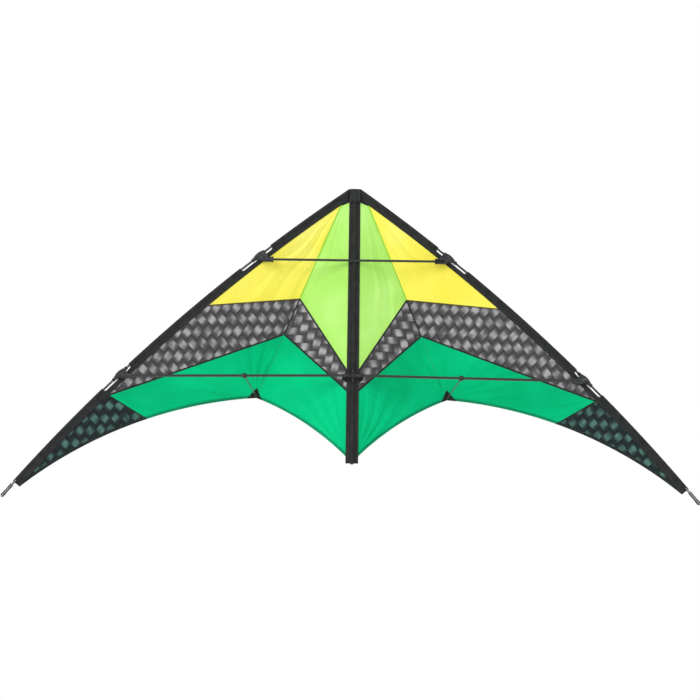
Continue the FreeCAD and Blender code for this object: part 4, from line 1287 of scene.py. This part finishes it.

# %% [markdown]
# ## What the cloth was cut from
# For every piece of cloth the size it was cut to is worked out, with the seams and stitches going
# with it.

LEAST_CUT, LEAST_SHARE = 0.0102, 0.301
WITH_PANEL = {"green_outer": ["hem", "hem_stitches"], "tip_panel": ["tip_hem", "tip_hem_stitches"]}
for (side, part), panel in panels.items():
    width, length, area = cuts[side, part]
    going = [seams[side, name + more] for name, (_, _, home, _) in SEAMS.items() if home == part
             for more in ("", "_stitches")]
    going += [hems[side, name] for name in WITH_PANEL.get(part, [])]
    area = min(max(area, LEAST_SHARE * width * length), width * length)
for side in SIDES:
    tape_half(TAPE_LOW)
pocket_area = sum(area_of(grid) for grid in pocket_grids)
area_of(nose_grid()) / (2 * NOSE_HALF)
for patch, grid in patches:
    width, length = (max(span, LEAST_CUT) for span in spans(grid))
    min(area_of(grid), width * length)

# %% [markdown]
# ## Studio
# The kite hangs in a white studio over a pale floor. Soft light comes from a large lamp high on
# the left, a weaker one on the right and one behind, and from the white room all round.

# %% Floor and lights
FLOOR_Z = -0.90
# radius and height of each ring of the floor, whose rim is rounded down
FLOOR_RINGS = np.array([(1e-4, 0), (0.8, 0), (1.6, 0), (1.70, -0.004), (1.72, -0.02)])
turn = around(96)[None]
radius, lip = FLOOR_RINGS.T[:, :, None]
floor_grid = np.stack(np.broadcast_arrays(radius * np.cos(turn), radius * np.sin(turn), FLOOR_Z + lip), -1)
floor = build("studio_floor", [floor_grid], wraps=True)
pale = Finish("pale_floor")
colour = pale.ramp(pale.noise(3.0), (0.3, (237, 237, 236)), (0.7, (239, 239, 238)))
floor.data.materials.append(pale.finished(colour, (pale.noise(20.0), 0.7, 0.8)))


def lamp(name, place, power, size):
    """A square soft light that faces the middle of the kite."""
    data = bpy.data.lights.new(name, "AREA")
    data.energy, data.size = power, size
    made = added(name, data)
    made.location = place
    made.rotation_euler = made.location.normalized().to_track_quat("Z", "Y").to_euler()


lamp("key_light", (-2.6, -3.6, 2.6), 126, 2.0)
lamp("fill_light", (3.4, -4.0, 0.8), 45, 2.5)
lamp("back_light", (1.5, 4.0, 2.5), 110, 2.5)
print("lamps:", len(bpy.data.lights))

# %% White room
world = bpy.data.worlds.new("white_room")
world.use_nodes = True
bpy.context.scene.world = world
room = world.node_tree
soft = room.nodes["Background"]
soft.inputs["Color"].default_value = (0.63, 0.63, 0.64, 1)
seen = room.nodes.new("ShaderNodeBackground")
seen.inputs["Color"].default_value = (1, 1, 1, 1)
rays = room.nodes.new("ShaderNodeLightPath")
either = room.nodes.new("ShaderNodeMixShader")
room.links.new(rays.outputs["Is Camera Ray"], either.inputs[0])
room.links.new(soft.outputs[0], either.inputs[1])
room.links.new(seen.outputs[0], either.inputs[2])
room.links.new(either.outputs[0], room.nodes["World Output"].inputs["Surface"])
bpy.context.scene.view_settings.view_transform = "Standard"
print("world:", world.name)

# %% [markdown]
# ## Camera
# A long lens from a little below the middle of the kite, almost square to it, and rolled by less
# than a degree.

# %% Camera
AZIMUTH, ELEVATION, ROLL = math.radians(-1.0), math.radians(-2.0), math.radians(0.7)
DISTANCE, LENS, SENSOR, FAR = 6.2, 142.8, 36.0, 50.0
AIM = np.array([-0.0062, 0.040, 0.0581])
back = np.array([math.sin(AZIMUTH) * math.cos(ELEVATION), -math.cos(AZIMUTH) * math.cos(ELEVATION),
                 math.sin(ELEVATION)])
camera = added("camera", bpy.data.cameras.new("camera"))
camera.data.lens, camera.data.sensor_width, camera.data.clip_end = LENS, SENSOR, FAR
camera.location = AIM + DISTANCE * back
vector = type(camera.location)
facing = (camera.location - vector(AIM)).to_track_quat("Z", "Y")
camera.rotation_mode = "QUATERNION"
camera.rotation_quaternion = facing @ type(facing)((0, 0, 1), ROLL)
bpy.context.scene.camera = camera
print("camera at", [round(value, 3) for value in camera.location])
